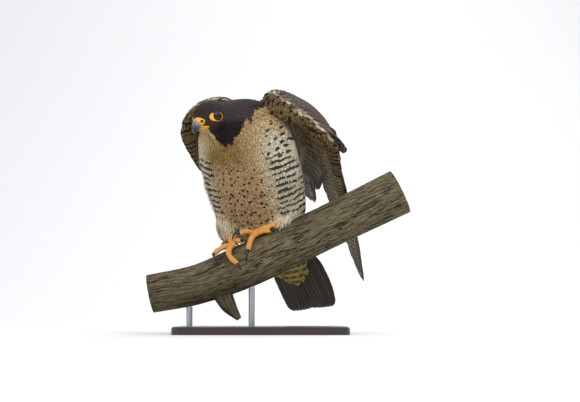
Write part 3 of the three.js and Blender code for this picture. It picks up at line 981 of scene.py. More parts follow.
def store(mesh: bpy.types.Mesh, name: str, values: np.ndarray, kind: str = "FLOAT") -> None:
    """Write a point attribute.

    Args:
        mesh: The mesh.
        name: The attribute's name.
        values: One value or row for each vertex.
        kind: FLOAT, FLOAT_VECTOR or FLOAT_COLOR.
    """
    made = mesh.attributes.new(name, kind, "POINT")
    key = {"FLOAT": "value", "FLOAT_VECTOR": "vector", "FLOAT_COLOR": "color"}[kind]
    rows = np.asarray(values, np.float32)
    if kind == "FLOAT_COLOR":
        rows = np.hstack([rows, np.ones((len(rows), 1), np.float32)])
    made.data.foreach_set(key, np.ascontiguousarray(rows).ravel())


def fetch(
    items: bpy.types.bpy_prop_collection, key: str, width: int = 1, kind: type = np.float32,
) -> np.ndarray:
    """Read a value or row of every item.

    Args:
        items: The items, such as a mesh's vertices.
        key: What is read.
        width: How many numbers it has.
        kind: Their kind.

    Returns:
        One number or row for each item.
    """
    values = np.zeros(len(items) * width, kind)
    items.foreach_get(key, values)
    return values.reshape(-1, width) if width > 1 else values


def lay_map(mesh: bpy.types.Mesh, name: str, rows: np.ndarray) -> None:
    """Write a UV map, one row for each corner of the faces."""
    mesh.uv_layers.new(name=name).data.foreach_set("uv", np.asarray(rows, np.float32).ravel())


def plain_mesh(piece: bpy.types.Object) -> bpy.types.Object:
    """Turn a piece's modifiers into its own mesh.

    Args:
        piece: The piece.

    Returns:
        The piece.
    """
    view = bpy.context.evaluated_depsgraph_get()
    made = bpy.data.meshes.new_from_object(piece.evaluated_get(view), depsgraph=view)
    piece.modifiers.clear()
    piece.data = made
    return piece


def give(
    piece: bpy.types.Object, material: bpy.types.Material, slot: str, nodes: tuple = (),
) -> bpy.types.Object:
    """Dress a piece and fix it to the frame.

    Args:
        piece: The piece.
        material: Its finish.
        slot: The record's material slot; not used.
        nodes: The solids that it stands for.

    Returns:
        The piece.
    """
    piece.data.materials.clear()
    piece.data.materials.append(material)
    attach(piece, BODY)
    if nodes:
        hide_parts(*nodes)
    log.info("%s: %d faces", piece.name, len(piece.data.polygons))
    return piece


def joined(name: str, parts: list, fact: str, dress: tuple, nodes: tuple, matrix: np.ndarray) -> None:
    """One finished piece of several closed meshes.

    Args:
        name: Its name.
        parts: Vertices, faces and one value for each vertex, for each mesh.
        fact: The name of that value's attribute.
        dress: Its material and the record's slot.
        nodes: The solids that it stands for.
        matrix: The frame that the points are in.
    """
    made = mesh_object(name, *stacked(parts), matrix)
    store(made.data, fact, np.concatenate([part[2] for part in parts]))
    outward(made)
    smooth(made)
    give(made, *dress, nodes)


class GeometryTree(Nodes):
    """A geometry tree with named inputs."""

    def __init__(self, name: str, **inputs: str) -> None:
        """Start a tree.

        Args:
            name: Its name.
            inputs: Socket types by the inputs' names.
        """
        super().__init__(bpy.data.node_groups.new(name, "GeometryNodeTree"))
        face = self.tree.interface
        self.names = {
            key: face.new_socket(key, in_out="INPUT", socket_type="NodeSocket" + kind).identifier
            for key, kind in {"Geometry": "Geometry", **inputs}.items()
        }
        face.new_socket("Geometry", in_out="OUTPUT", socket_type="NodeSocketGeometry")
        self.entry = self.tree.nodes.new("NodeGroupInput")
        self.exit = self.tree.nodes.new("NodeGroupOutput")

    def given(self, name: str) -> bpy.types.NodeSocket:
        """The value of a named input."""
        return self.entry.outputs[name]

    def named(self, name: str, kind: str = "FLOAT") -> bpy.types.NodeSocket:
        """A reader of a point attribute."""
        made = self.node("GeometryNodeInputNamedAttribute", {"Name": name}, data_type=kind)
        return next(o for o in made.outputs if o.enabled)

    def number(self, operation: str, *values: object) -> bpy.types.NodeSocket:
        """A Math node."""
        return self.node("ShaderNodeMath", dict(enumerate(values)), operation=operation).outputs[0]

    def vector(self, operation: str, sockets: dict, output: int = 0) -> bpy.types.NodeSocket:
        """A Vector Math node."""
        return self.node("ShaderNodeVectorMath", sockets, operation=operation).outputs[output]

    def end(self, geometry: bpy.types.NodeSocket) -> "GeometryTree":
        """Link the result, and give the tree back."""
        self.tree.links.new(geometry, self.exit.inputs[0])
        return self

    def run(self, piece: bpy.types.Object, **values: object) -> bpy.types.Object:
        """Make a piece's mesh by this tree.

        Args:
            piece: The piece that carries the starting mesh.
            values: Values of the named inputs.

        Returns:
            The piece, with the result as its plain mesh.
        """
        modifier = piece.modifiers.new("make", "NODES")
        modifier.node_group = self.tree
        for key, value in values.items():
            modifier[self.names[key]] = value
        return plain_mesh(piece)


TORSO = (
    (0, 84, -6, 22, 14, 12), (0, 66, 18, 56, 40, 26), (0, 45, 46, 77, 58, 40), (0, 26, 80, 83, 64, 50),
    (0, 8, 114, 85, 67, 55), (0, -8, 144, 84, 66, 55), (0, -19, 170, 80, 58, 50), (0, -24, 192, 67, 46, 44),
    (0, -27, 212, 42, 32, 34),
)
NECK = (
    (10, -8, 178, 54, 46, 47), (3, -34, 186, 46, 48, 38), (-7, -60, 188, 36, 47, 30),
    (-14, -82, 188, 30, 43, 23), (-18, -105, 178, 22, 25, 14),
)
SKULL = (
    (0, 28, -1, 21, 23, 24), (0, 14, 0, 24, 24, 26.5), (0, -1, 0, 24.5, 23, 27.5), (0, -14, 0, 22.8, 21, 23.5),
    (0, -25, -1, 17, 16, 16.5), (0, -33, -1, 9.5, 10, 10),
)
TAIL_CORE = ((3, 68, 13, 34, 16, 20), (12, 94, -9, 42, 10, 13), (16, 120, -30, 38, 5, 6))
LEFT_THIGH = ((50, 34, 62, 28, 30, 28), (47, 16, 38, 22, 25, 22), (43, 4, 22, 13, 14, 13))
RIGHT_THIGH = ((-46, 26, 56, 30, 30, 28), (-38, 4, 24, 22, 24, 22), (-30, -12, 2, 12, 13, 12))
BROW = (
    (0, 16, 9, 20.5, 12, 17), (0, 2, 9, 22, 12, 18.5), (0, -10, 9, 21.4, 11, 18), (0, -21, 8, 17.6, 9, 15.5),
    (0, -29, 6.5, 13.4, 6, 11.8), (0, -36, 5.2, 9, 3, 7.6),
)
SKULL_FORM = Loft(SKULL, caps=(0.25, 0.12))
EYE_PLACE = (16, -12.5, 3.5)
EYE_LOOK = (0.93, -0.35, 0.1)
EYE_RADIUS = 9.0
ARM_ACROSS = (0.1, 0.95, 0.25)
HAND_ACROSS = (0.87, 0, -0.5)


@dataclass(frozen=True)
class Fan:
    """The flat fan that a row of flight feathers lies in, bent up in the middle of its reach."""

    on: tuple
    up: tuple
    ahead: tuple
    reach: float
    bow: float = 0

    def laid(self, point: np.ndarray, level: float) -> np.ndarray:
        """A point moved onto a level above the fan's plane."""
        up = unit(self.up)
        return point + up * (level - (point - np.array(self.on)) @ up)

    def bent(self, points: np.ndarray) -> np.ndarray:
        """Points bent up with the fan."""
        share = np.clip((points - np.array(self.on)) @ unit(self.ahead) / self.reach, 0, 1)
        return points + unit(self.up) * (4 * self.bow * share * (1 - share))[..., None]


@dataclass(frozen=True)
class WingPlan:
    """One wing's stations, its fans and the lines of its feather tips, from the leading feather on."""

    side: str
    hand: int
    arm: tuple
    finger: tuple
    primary_tips: tuple
    secondary_tips: tuple
    hand_fan: Fan
    arm_fan: Fan
    alula_roots: tuple
    alula_tips: tuple
    alula_fan: Fan
    inner_tips: tuple
    wrist_roots: tuple
    wrist_tips: tuple

    def roots(self, stations: tuple, across: tuple, share: float, first: float, last: float) -> np.ndarray:
        """Four points inside a core, towards its feathered edge.

        Args:
            stations: The core's stations.
            across: Its width direction.
            share: How far towards that edge.
            first: Share of its path to start at.
            last: Share of its path to end at.

        Returns:
            The points.
        """
        rows = np.asarray(stations, float)
        t = np.linspace(first, last, 4)
        wide = Spline(rows[:, 3:]).at(t)[:, :1]
        return Spline(rows[:, :3]).at(t) + unit(across_for(across, self.hand)) * (share * self.hand * wide)

    def hand_roots(self) -> np.ndarray:
        """Roots of the primaries."""
        return self.roots(self.finger, HAND_ACROSS, -0.35, 0.86, 0.34)

    def arm_roots(self) -> np.ndarray:
        """Roots of the secondaries."""
        return self.roots(self.arm, ARM_ACROSS, 0.5, 0.84, 0.24)

    def inner_roots(self) -> np.ndarray:
        """Roots of the innermost feathers, over the back."""
        return self.roots(self.arm, ARM_ACROSS, 0.5, 0.22, 0.06)


LEFT_WING = WingPlan(
    "left", 1,
    ((28, -8, 210, 24, 20, 22), (48, -6, 214, 30, 20, 25), (78, 4, 206, 34, 14, 18), (108, 2, 186, 27, 11, 14),
     (132, -8, 164, 16, 9, 10), (145, -14, 152, 8, 7, 7)),
    ((141, -16, 157, 15, 8, 8), (139, 6, 140, 15, 7, 7), (133, 34, 118, 11, 6, 6), (126, 60, 96, 7, 4, 4)),
    ((96, 243, -46), (91, 257, -61), (86, 215, -15), (78, 160, 42), (72, 122, 74)),
    ((69, 112, 92), (50, 106, 112), (45, 120, 92), (40, 132, 72)),
    Fan((130, 30, 124), (0.44, 0.61, 0.67), (-0.2, 0.74, -0.64), 240, 5),
    Fan((98, 14, 195), (0.46, 0.71, 0.53), (-0.38, 0.68, -0.63), 160, 4),
    ((143, -12, 158), (140, -4, 160)), ((139, 44, 112), (135, 30, 126)),
    Fan((142, -8, 154.5), (0.38, 0.61, 0.67), (0, 0.7, -0.7), 70),
    ((43, 142, 66), (32, 146, 70), (22, 136, 80), (12, 120, 92)),
    ((118, -8, 180), (126, -8, 174), (133, -6, 167), (138, 0, 159)),
    ((138, -4, 160), (149, -4, 152), (157, 0, 144), (160, 10, 134)),
)
RIGHT_WING = WingPlan(
    "right", -1,
    ((-26, -8, 206, 24, 20, 18), (-47, -6, 214, 30, 20, 20), (-68, 2, 220, 34, 14, 16),
     (-89, -2, 214, 27, 11, 15), (-103, -10, 203, 16, 9, 11), (-111, -16, 191, 8, 7, 7)),
    ((-106, -18, 192, 15, 8, 8), (-112, 4, 172, 15, 7, 7), (-116, 34, 146, 11, 6, 6), (-116, 60, 120, 7, 4, 4)),
    ((-86, 232, -30), (-80, 246, -42), (-76, 210, 0), (-68, 160, 50), (-62, 119, 82)),
    ((-58, 116, 98), (-50, 112, 100), (-45, 122, 86), (-38, 132, 72)),
    Fan((-112, 30, 150), (-0.27, 0.66, 0.7), (0.13, 0.72, -0.68), 240, 5),
    Fan((-84, 12, 215), (-0.37, 0.75, 0.56), (0.25, 0.65, -0.72), 170, 4),
    ((-109, -14, 190), (-106, -6, 192)), ((-117, 34, 132), (-113, 24, 144)),
    Fan((-108, -10, 186.5), (-0.5, 0.55, 0.67), (0, 0.7, -0.7), 70),
    ((-41, 142, 68), (-32, 146, 72), (-22, 136, 82), (-12, 120, 92)),
    ((-88, -8, 216), (-96, -8, 210), (-101, -6, 203), (-106, 0, 195)),
    ((-106, -4, 204), (-113, -3, 197), (-118, 0, 190), (-121, 10, 180)),
)
TAIL_FAN = Fan((12, 90, -6), (-0.16, 0.64, 0.77), (0.05, 0.77, -0.64), 155, 3)
WINGS = (LEFT_WING, RIGHT_WING)


def across_for(direction: tuple, hand: int) -> tuple:
    """A wing's width direction, mirrored for the right wing so that its belly side stays below."""
    return direction if hand > 0 else (direction[0], -direction[1], -direction[2])


@dataclass(frozen=True)
class Part:
    """A stretch of the body: its form, the coat's depth, and the way that its feathers lie."""

    name: str
    loft: Loft
    depth: float
    lie: int
    flow: tuple
    head: bool = False


class Anatomy:
    """The body's forms, and what every point on the skin belongs to."""

    def __init__(self) -> None:
        """List the parts."""
        round_ends = (0.2, 0.2)
        down = (0, 0.45, -0.89)
        ahead = (0, -0.35, -0.93)
        self.parts = [
            Part("torso", Loft(TORSO, caps=(0.08, 0.2)), 2.4, -1, down),
            Part("neck", Loft(NECK, caps=round_ends), 2, -1, down),
            Part("skull", SKULL_FORM, 0.9, -1, down, head=True),
            Part("brow", Loft(BROW, caps=SKULL_FORM.caps), 0, -1, down, head=True),
            Part("left_thigh", Loft(LEFT_THIGH, caps=round_ends), 2.4, 1, ahead),
            Part("right_thigh", Loft(RIGHT_THIGH, caps=round_ends), 2.4, 1, ahead),
            Part("tail_root", Loft(TAIL_CORE), 2, 1, TAIL_FAN.ahead),
        ]
        for plan in WINGS:
            arm = Loft(plan.arm, across_for(ARM_ACROSS, plan.hand), round_ends)
            finger = Loft(plan.finger, across_for(HAND_ACROSS, plan.hand), round_ends)
            self.parts.append(Part(plan.side + "_arm", arm, 2, 1, plan.arm_fan.ahead))
            self.parts.append(Part(plan.side + "_hand", finger, 1.6, 1, plan.hand_fan.ahead))
        self.names = np.array([part.name for part in self.parts])

    def skin(self) -> bpy.types.Object:
        """One closed skin over all the parts.

        Returns:
            The skin piece, in the world's metres.
        """
        meshes = []
        for part in self.parts:
            points, faces = part.loft.shell(48, 40, -part.depth)
            meshes.append((moved(points, HEAD) if part.head else points, faces))
        piece = mesh_object("plumage_skin", *stacked(meshes), BIRD)
        outward(piece)
        remesh = piece.modifiers.new("join", "REMESH")
        remesh.mode = "VOXEL"
        remesh.voxel_size = 2.0 * MM
        piece.modifiers.new("relax", "SMOOTH").iterations = 5
        plain_mesh(piece)
        smooth(piece)
        return piece

    def read(self, points: np.ndarray) -> dict:
        """What points on the skin belong to.

        Args:
            points: Rows in the bird's frame.

        Returns:
            Weights, path shares, angles and directions by part, and the nearest part's number.
        """
        distance, shares, angles, ways = [], [], [], []
        for part in self.parts:
            local = moved(points, np.linalg.inv(HEAD)) if part.head else points
            t, angle, away, along = part.loft.locate(local, -part.depth)
            distance.append(away)
            shares.append(t)
            angles.append(angle)
            ways.append((along @ HEAD[:3, :3].T if part.head else along) * part.lie)
        distance = np.array(distance)
        weights = np.exp(-(distance - distance.min(0)) / 5)
        return {
            "weights": weights / weights.sum(0), "shares": np.array(shares), "angles": np.array(angles),
            "ways": np.array(ways), "nearest": distance.argmin(0),
        }


class Spot:
    """What the skin is like where each feather's colour is read."""

    def __init__(self, anatomy: Anatomy, points: np.ndarray, outs: np.ndarray, reach: float) -> None:
        """Read the skin.

        Args:
            anatomy: The body.
            points: Roots, in the bird's frame.
            outs: The skin's directions out.
            reach: Share of a feather's length from its root to where its colour is read.
        """
        found = anatomy.read(points)
        weight = found["weights"]
        share = lambda *names: weight[np.isin(anatomy.names, names)].sum(0)
        self.skull, self.neck, self.torso = share("skull", "brow"), share("neck"), share("torso")
        self.thigh, self.tail = share("left_thigh", "right_thigh"), share("tail_root")
        self.arms, hands = share("left_arm", "right_arm"), share("left_hand", "right_hand")
        self.wing = self.arms + hands
        way = np.einsum("pn,pnk->nk", weight, found["ways"])
        self.facing = outs @ unit(TAIL_FAN.up) * self.tail
        for plan in WINGS:
            arm = share(plan.side + "_arm")
            way += arm[:, None] * (unit(plan.arm_fan.ahead) - way)
            self.facing += outs @ unit(plan.arm_fan.up) * arm
            self.facing += outs @ unit(plan.hand_fan.up) * share(plan.side + "_hand")
        self.way = unit(way - outs * dots(way, outs)[:, None])
        flows = np.array([unit(part.flow) for part in anatomy.parts])
        self.run = np.sum(weight * (flows @ points.T), axis=0)
        ahead = moved(points, np.linalg.inv(HEAD))[:, 1]
        length = (
            17 * self.torso + 12 * self.neck + 7 * self.skull + 21 * self.thigh + 13 * self.arms + 11 * hands
            + 24 * self.tail
        )
        length *= 1 - 0.4 * self.neck * soft_step(ahead, 70, 20)
        length *= 1 - 0.5 * soft_step(ahead, 12, -30) * self.skull
        self.length = length
        tips = points + self.way * (length * reach)[:, None]
        self.head = moved(tips, np.linalg.inv(HEAD))
        self.x, _, self.z = tips.T
        self.side = np.abs(self.x)
        self.back = soft_step(outs[:, 1] * 0.8 + outs[:, 2] * 0.6, 0.05, 0.35) * self.torso
        self.above = soft_step(self.facing, -0.1, 0.2)
        self.under = self.wing * (1 - self.above)
        self.hood = self.hooded()

    def hooded(self) -> np.ndarray:
        """How much each spot belongs to the dark hood; its edge is drawn as seen from half ahead.

        Returns:
            Shares from 0 to 1.
        """
        edge = np.array([
            (-80, -6), (-22, -8), (-8, -13), (-5, -24), (0.5, -32), (4, -39), (9, -43.5), (14, -44.5),
            (22, -41.5), (29, -33), (35, -27), (40.5, -22), (42.7, -17), (46, -10), (49.5, -6), (52, -9),
            (55.4, -12), (60.5, -4), (63, 4), (70, 7), (95, 13), (120, 17), (120, 120), (-80, 120),
        ], float)
        x, y, z = self.head.T
        side = np.where(x > -6, 1, -1)
        across = 0.79 * side * x + 0.62 * y
        # The right side's dark stripe is shorter, and set back
        across = across - 27 * (side < 0) * soft_step(z, -6, -16) * soft_step(across, 42, 12)
        low = z - 24 * (side < 0) * soft_step(z, -8, -19)
        return soft_step(-polygon_distance(np.stack([across, low], 1), edge), -1.2, 1.2)

    def tones(self) -> np.ndarray:
        """Each feather's colour.

        Returns:
            Rows of linear colour.
        """
        x, z, side = self.x, self.z, self.side
        _, hy, hz = self.head.T
        flank = soft_step(side, 30, 72) * soft_step(z, 190, 150)
        dark = soft_step(hz, 0, -14) * soft_step(hy, -24, -8) * soft_step(hy, 34, 20)
        cheek = np.exp(-((hy - 24) / 13) ** 2 - ((hz + 2) / 12) ** 2)
        covered = self.hood * (1 - self.wing)
        tone = np.tile(Tone.BREAST.array(), (len(x), 1))
        for color, share in (
            # Painted shade: the breast's centre under the head takes the darkened yellow wash.
            (Tone.SHADED_WASH, 0.8 * soft_step(x, 46, 4) * soft_step(x, -80, -40) * soft_step(z, 100, 130)),
            (Tone.BELLY, soft_step(z, 130, 70) * soft_step(side, 66, 12)),
            (Tone.FLANK, np.clip(flank + soft_step(z, 40, 10) * 0.6, 0, 1)),
            (Tone.THROAT, soft_step(hz, -55, -20) * soft_step(hy, 40, 0)),
            (Tone.TROUSER, self.thigh),
            (Tone.VENT, self.tail * (1 - self.above)),
            (Tone.RUMP, self.tail * self.above),
            (Tone.LINING, self.under),
            (Tone.MANTLE, np.clip(self.wing * self.above + self.back, 0, 1)),
            (Tone.RUMP, self.back * soft_step(z, 52, 22)),
            (Tone.EDGE, self.arms * 0.9 * np.exp(-(((self.facing - 0.02) / 0.04) ** 2))),
            (Tone.HOOD, covered),
            (Tone.CHEEK, covered * cheek),
            (Tone.MALAR, covered * np.clip(dark + 0.5 * soft_step(hy, 34, 60), 0, 1)),
        ):
            tone = blend(tone, color, share)
        return tone

    def marks(self) -> np.ndarray:
        """How strong each feather's bars, drops and pale rim are.

        Returns:
            Rows of three.
        """
        x, z, thigh = self.x, self.z, self.thigh
        body = np.clip(self.torso + thigh, 0, 1) * (1 - self.hood) * (1 - self.back)
        line = soft_step(self.side + 16 * (x < 0), 38, 60)
        bars = body * line * (0.25 + 0.75 * soft_step(z, 168, 124)) * soft_step(z, 188, 168) * (1 - thigh * 0.8)
        outer = soft_step(self.side, 84, 104)
        bars = np.clip(bars + self.tail * (1 - self.above) * 0.8 + self.under * outer, 0, 1)
        chest = 128 - 14 * soft_step(self.side, 30, 70)
        drops = body * (1 - 0.85 * line) * soft_step(z, chest, chest - 22)
        drops += body * line * soft_step(z, 112, 138) * soft_step(z, 196, 184) * soft_step(x, 22, 44) * 1.3
        drops = np.clip(drops * (1 - thigh) + self.under * (1 - outer) * 1.7, 0, 1.7)
        return np.stack([bars, drops, np.clip(self.above * self.wing + self.back, 0, 1)], 1)


def polygon_distance(points: np.ndarray, corners: np.ndarray) -> np.ndarray:
    """Distances to a closed outline, negative inside.

    Args:
        points: Rows of two coordinates.
        corners: The outline's corners in order.

    Returns:
        One distance for each point.
    """
    best = np.full(len(points), 1e9)
    inside = np.zeros(len(points), bool)
    for a, b in zip(corners, np.roll(corners, -1, axis=0)):
        run = b - a
        t = np.clip((points - a) @ run / (run @ run), 0, 1)
        best = np.minimum(best, np.linalg.norm(points - a - t[:, None] * run, axis=1))
        crosses = (a[1] > points[:, 1]) != (b[1] > points[:, 1])
        with np.errstate(divide="ignore", invalid="ignore"):
            at = a[0] + (points[:, 1] - a[1]) * (b[0] - a[0]) / (b[1] - a[1])
        inside ^= crosses & (points[:, 0] < at)
    return np.where(inside, -best, best)


def two_faced(top: np.ndarray, below: np.ndarray, rim: np.ndarray) -> tuple:
    """A thin closed grid whose two faces share their rim.

    Args:
        top: The upper face's points, by row and column.
        below: The lower face's.
        rim: Which of them are on the rim.

    Returns:
        Vertices, and the numbers of each face's vertices by row and column.
    """
    index = np.arange(rim.size).reshape(rim.shape)
    lower = index.copy()
    lower[~rim] = rim.size + np.arange(np.sum(~rim))
    return np.vstack([top.reshape(-1, 3), below.reshape(-1, 3)[~rim.ravel()]]), index, lower


def grid_cells(rows: int, columns: int) -> list:
    """The four corners of each cell of a grid, as rows and columns."""
    return [((r, c), (r, c + 1), (r + 1, c + 1), (r + 1, c)) for r in range(rows) for c in range(columns)]


def vane_pattern(columns: int, rows: int) -> bpy.types.Object:
    """A small closed feather of unit size along +Y, rounded at its tip, with its own map.

    Args:
        columns: Steps across.
        rows: Steps along.

    Returns:
        The hidden pattern object.
    """
    wide = np.array([0.35, 0.8, 0.98, 1.0, 0.86, 0.5])
    v = np.linspace(0, 1, rows + 1)
    half = np.interp(v, np.linspace(0, 1, len(wide)), wide) / 2
    u = np.linspace(-1, 1, columns + 1)
    uu, vv = np.meshgrid(u, v)
    notch = 1 - 0.07 * (np.arange(columns + 1) % 2)[None] * (vv > 0.99) - 0.1 * uu**2 * vv**2
    x, y, z = uu * half[:, None], vv * notch, -0.05 * uu**2
    lens = (1 - np.abs(uu) ** 2) * np.minimum(1, 12 * vv * (1 - vv)) * 0.03
    rim = (np.abs(uu) > 0.999) | (vv < 0.001) | (vv > 0.999)
    verts, index, lower = two_faced(np.stack([x, y, z + lens], 2), np.stack([x, y, z - lens], 2), rim)
    faces, maps = [], []
    for cell in grid_cells(rows, columns):
        for grid, corners in ((index, cell), (lower, cell[::-1])):
            faces.append([grid[k] for k in corners])
            maps += [((u[c] + 1) / 2, v[r]) for r, c in corners]
    mesh = bpy.data.meshes.new("vane_pattern")
    mesh.from_pydata(verts.tolist(), [], faces)
    lay_map(mesh, "vane", maps)
    store(mesh, "rise", np.concatenate([vv.ravel(), vv[~rim]]))
    made = bpy.data.objects.new("vane_pattern", mesh)
    smooth(made)
    return made


@dataclass(frozen=True)
class CoatPiece:
    """One piece of the coat: the spacing of its roots, its seed and slot, and its feathers' factors.

    Fine feathers use the smaller pattern, stand is how far tips stand off the skin, and hug is how closely
    feathers follow it.
    """

    name: str
    spacing: float
    seed: int
    slot: str
    fine: bool = False
    stand: float = 1.0
    scale: float = 1.0
    hug: float = 0.85
    narrow: float = 1.0


class Plumage:
    """The skin, and the body feathers set on it by two geometry trees."""

    def __init__(self) -> None:
        """Make the skin, the trees and the feather patterns."""
        self.anatomy = Anatomy()
        self.skin = self.anatomy.skin()
        self.scatter = self.scatter_tree()
        self.grow = self.grow_tree()
        self.fine = vane_pattern(2, 4)
        self.broad = vane_pattern(4, 6)
        self.material = PlumageFinish().make()

    @staticmethod
    def scatter_tree() -> GeometryTree:
        """Even roots over the skin, no two nearer than a spacing.

        Returns:
            The tree.
        """
        g = GeometryTree("feather_roots", Spacing="Float", Seed="Int")
        spread = g.node("GeometryNodeDistributePointsOnFaces", {
            "Mesh": g.given("Geometry"), "Distance Min": g.given("Spacing"), "Density Max": 2e6,
            "Density Factor": g.named("cover"), "Seed": g.given("Seed"),
        }, distribute_method="POISSON")
        sockets = {"Geometry": spread.outputs["Points"], "Name": "out", "Value": spread.outputs["Normal"]}
        kept = g.node("GeometryNodeStoreNamedAttribute", sockets, data_type="FLOAT_VECTOR", domain="POINT")
        return g.end(g.node("GeometryNodePointsToVertices", {0: kept.outputs[0]}).outputs[0])

    @staticmethod
    def grow_tree() -> GeometryTree:
        """A feather on every root, turned along its way and bent down to the skin.

        Returns:
            The tree.
        """
        g = GeometryTree("feathers", Pattern="Object", Skin="Object", Material="Material")
        pattern, body = (
            g.node("GeometryNodeObjectInfo", {0: g.given(name)}, transform_space="ORIGINAL").outputs["Geometry"]
            for name in ("Pattern", "Skin")
        )
        aim, out, size = (g.named(name, "FLOAT_VECTOR") for name in ("aim", "out", "size"))
        turn = g.node("FunctionNodeAxesToRotation", {0: aim, 1: out}, primary_axis="Y", secondary_axis="Z")
        set_on = g.node("GeometryNodeInstanceOnPoints", {
            "Points": g.given("Geometry"), "Instance": pattern, "Rotation": turn.outputs[0], "Scale": size,
        })
        real = g.node("GeometryNodeRealizeInstances", {0: set_on.outputs[0]}).outputs[0]
        here = g.node("GeometryNodeInputPosition").outputs[0]
        ground = g.node("GeometryNodeProximity", {0: body}, target_element="FACES").outputs["Position"]
        lift = g.vector("DOT_PRODUCT", {0: g.vector("SUBTRACT", {0: here, 1: ground}), 1: out}, output=1)
        rising = g.number("POWER", g.named("rise"), 1.3)
        wanted = g.number("MULTIPLY_ADD", rising, g.named("stand"), g.named("base"))
        press = g.number("MULTIPLY", g.number("SUBTRACT", wanted, lift), g.named("hug"))
        offset = g.vector("SCALE", {0: out, "Scale": press})
        shifted = g.node("GeometryNodeSetPosition", {"Geometry": real, "Offset": offset}).outputs[0]
        sockets = {"Geometry": shifted, "Material": g.given("Material")}
        return g.end(g.node("GeometryNodeSetMaterial", sockets).outputs[0])

    def grow_piece(self, plan: CoatPiece, cover: np.ndarray) -> None:
        """Make one piece of the coat.

        Args:
            plan: The piece's plan.
            cover: Where it grows, for every skin vertex.
        """
        piece = linked(plan.name, self.skin.data.copy())
        store(piece.data, "cover", cover)
        mesh = self.scatter.run(piece, Spacing=plan.spacing * MM, Seed=plan.seed).data
        count = len(mesh.vertices)
        places = moved(fetch(mesh.vertices, "co", 3) / MM, np.linalg.inv(BIRD))
        outs = unit(fetch(mesh.attributes["out"].data, "vector", 3) @ BIRD[:3, :3])
        spot = Spot(self.anatomy, places, outs, 0.55)
        marks = spot.marks()
        rng = np.random.default_rng(plan.seed)
        way = spot.way + rng.normal(0, 0.09, (count, 3))
        way = unit(way - outs * dots(way, outs)[:, None])
        length = spot.length * rng.uniform(0.85, 1.15, count) * plan.scale
        width = spot.length * (0.5 - 0.06 * spot.skull) * rng.uniform(0.88, 1.12, count)
        width = width * plan.scale * plan.narrow
        tone = spot.tones() * (1 + rng.normal(0, 1, (count, 1)) * (0.03 + 0.06 * marks[:, 2:]))
        for extra in [a.name for a in mesh.attributes if not a.is_required and not a.is_internal]:
            mesh.attributes.remove(mesh.attributes[extra])
        store(mesh, "tone", tone, "FLOAT_COLOR")
        for name, rows in (
            ("out", outs @ BIRD[:3, :3].T), ("aim", unit(way + outs * 0.1) @ BIRD[:3, :3].T),
            ("size", np.stack([width, length, width], 1) * MM), ("marks", marks), ("root", places),
        ):
            store(mesh, name, rows, "FLOAT_VECTOR")
        for name, values in (
            ("run", spot.run), ("long", length), ("seed", rng.uniform(0, 1, count)),
            ("base", np.full(count, 0.25 * MM)), ("stand", length * 0.06 * plan.stand * MM),
            ("hug", np.full(count, plan.hug)),
        ):
            store(mesh, name, values)
        pattern = self.fine if plan.fine else self.broad
        self.grow.run(piece, Pattern=pattern, Skin=self.skin, Material=self.material)
        self.lay_out(piece.data, len(pattern.data.vertices))
        smooth(piece)
        give(piece, self.material, plan.slot)

    def lay_out(self, mesh: bpy.types.Mesh, each: int) -> None:
        """Give every feather its own small patch at its root's place on the unwrapped skin.

        Args:
            mesh: The feathers.
            each: How many vertices one has.
        """
        at = self.unwrapped(fetch(mesh.attributes["root"].data, "vector", 3)[::each])
        corner = fetch(mesh.loops, "vertex_index", kind=np.int32)
        own = fetch(mesh.uv_layers["vane"].data, "uv", 2)
        lay_map(mesh, "OFBake", at[corner // each] + (own - 0.5) * 0.003)
        mesh.attributes.remove(mesh.attributes["root"])

    def unwrapped(self, points: np.ndarray) -> np.ndarray:
        """Places on the skin's unwrap: each part has a cell, laid out by angle and path.

        Args:
            points: Rows in the bird's frame.

        Returns:
            Rows of two from 0 to 1.
        """
        found = self.anatomy.read(points)
        nearest, rows = found["nearest"], np.arange(len(points))
        around = found["angles"][nearest, rows] / TURN + 0.5
        along = found["shares"][nearest, rows]
        cells = np.stack([nearest % 4, nearest // 4], 1) * np.array([0.25, 1 / 3])
        return cells + 0.01 + np.stack([around * 0.23, along * 0.31], 1)

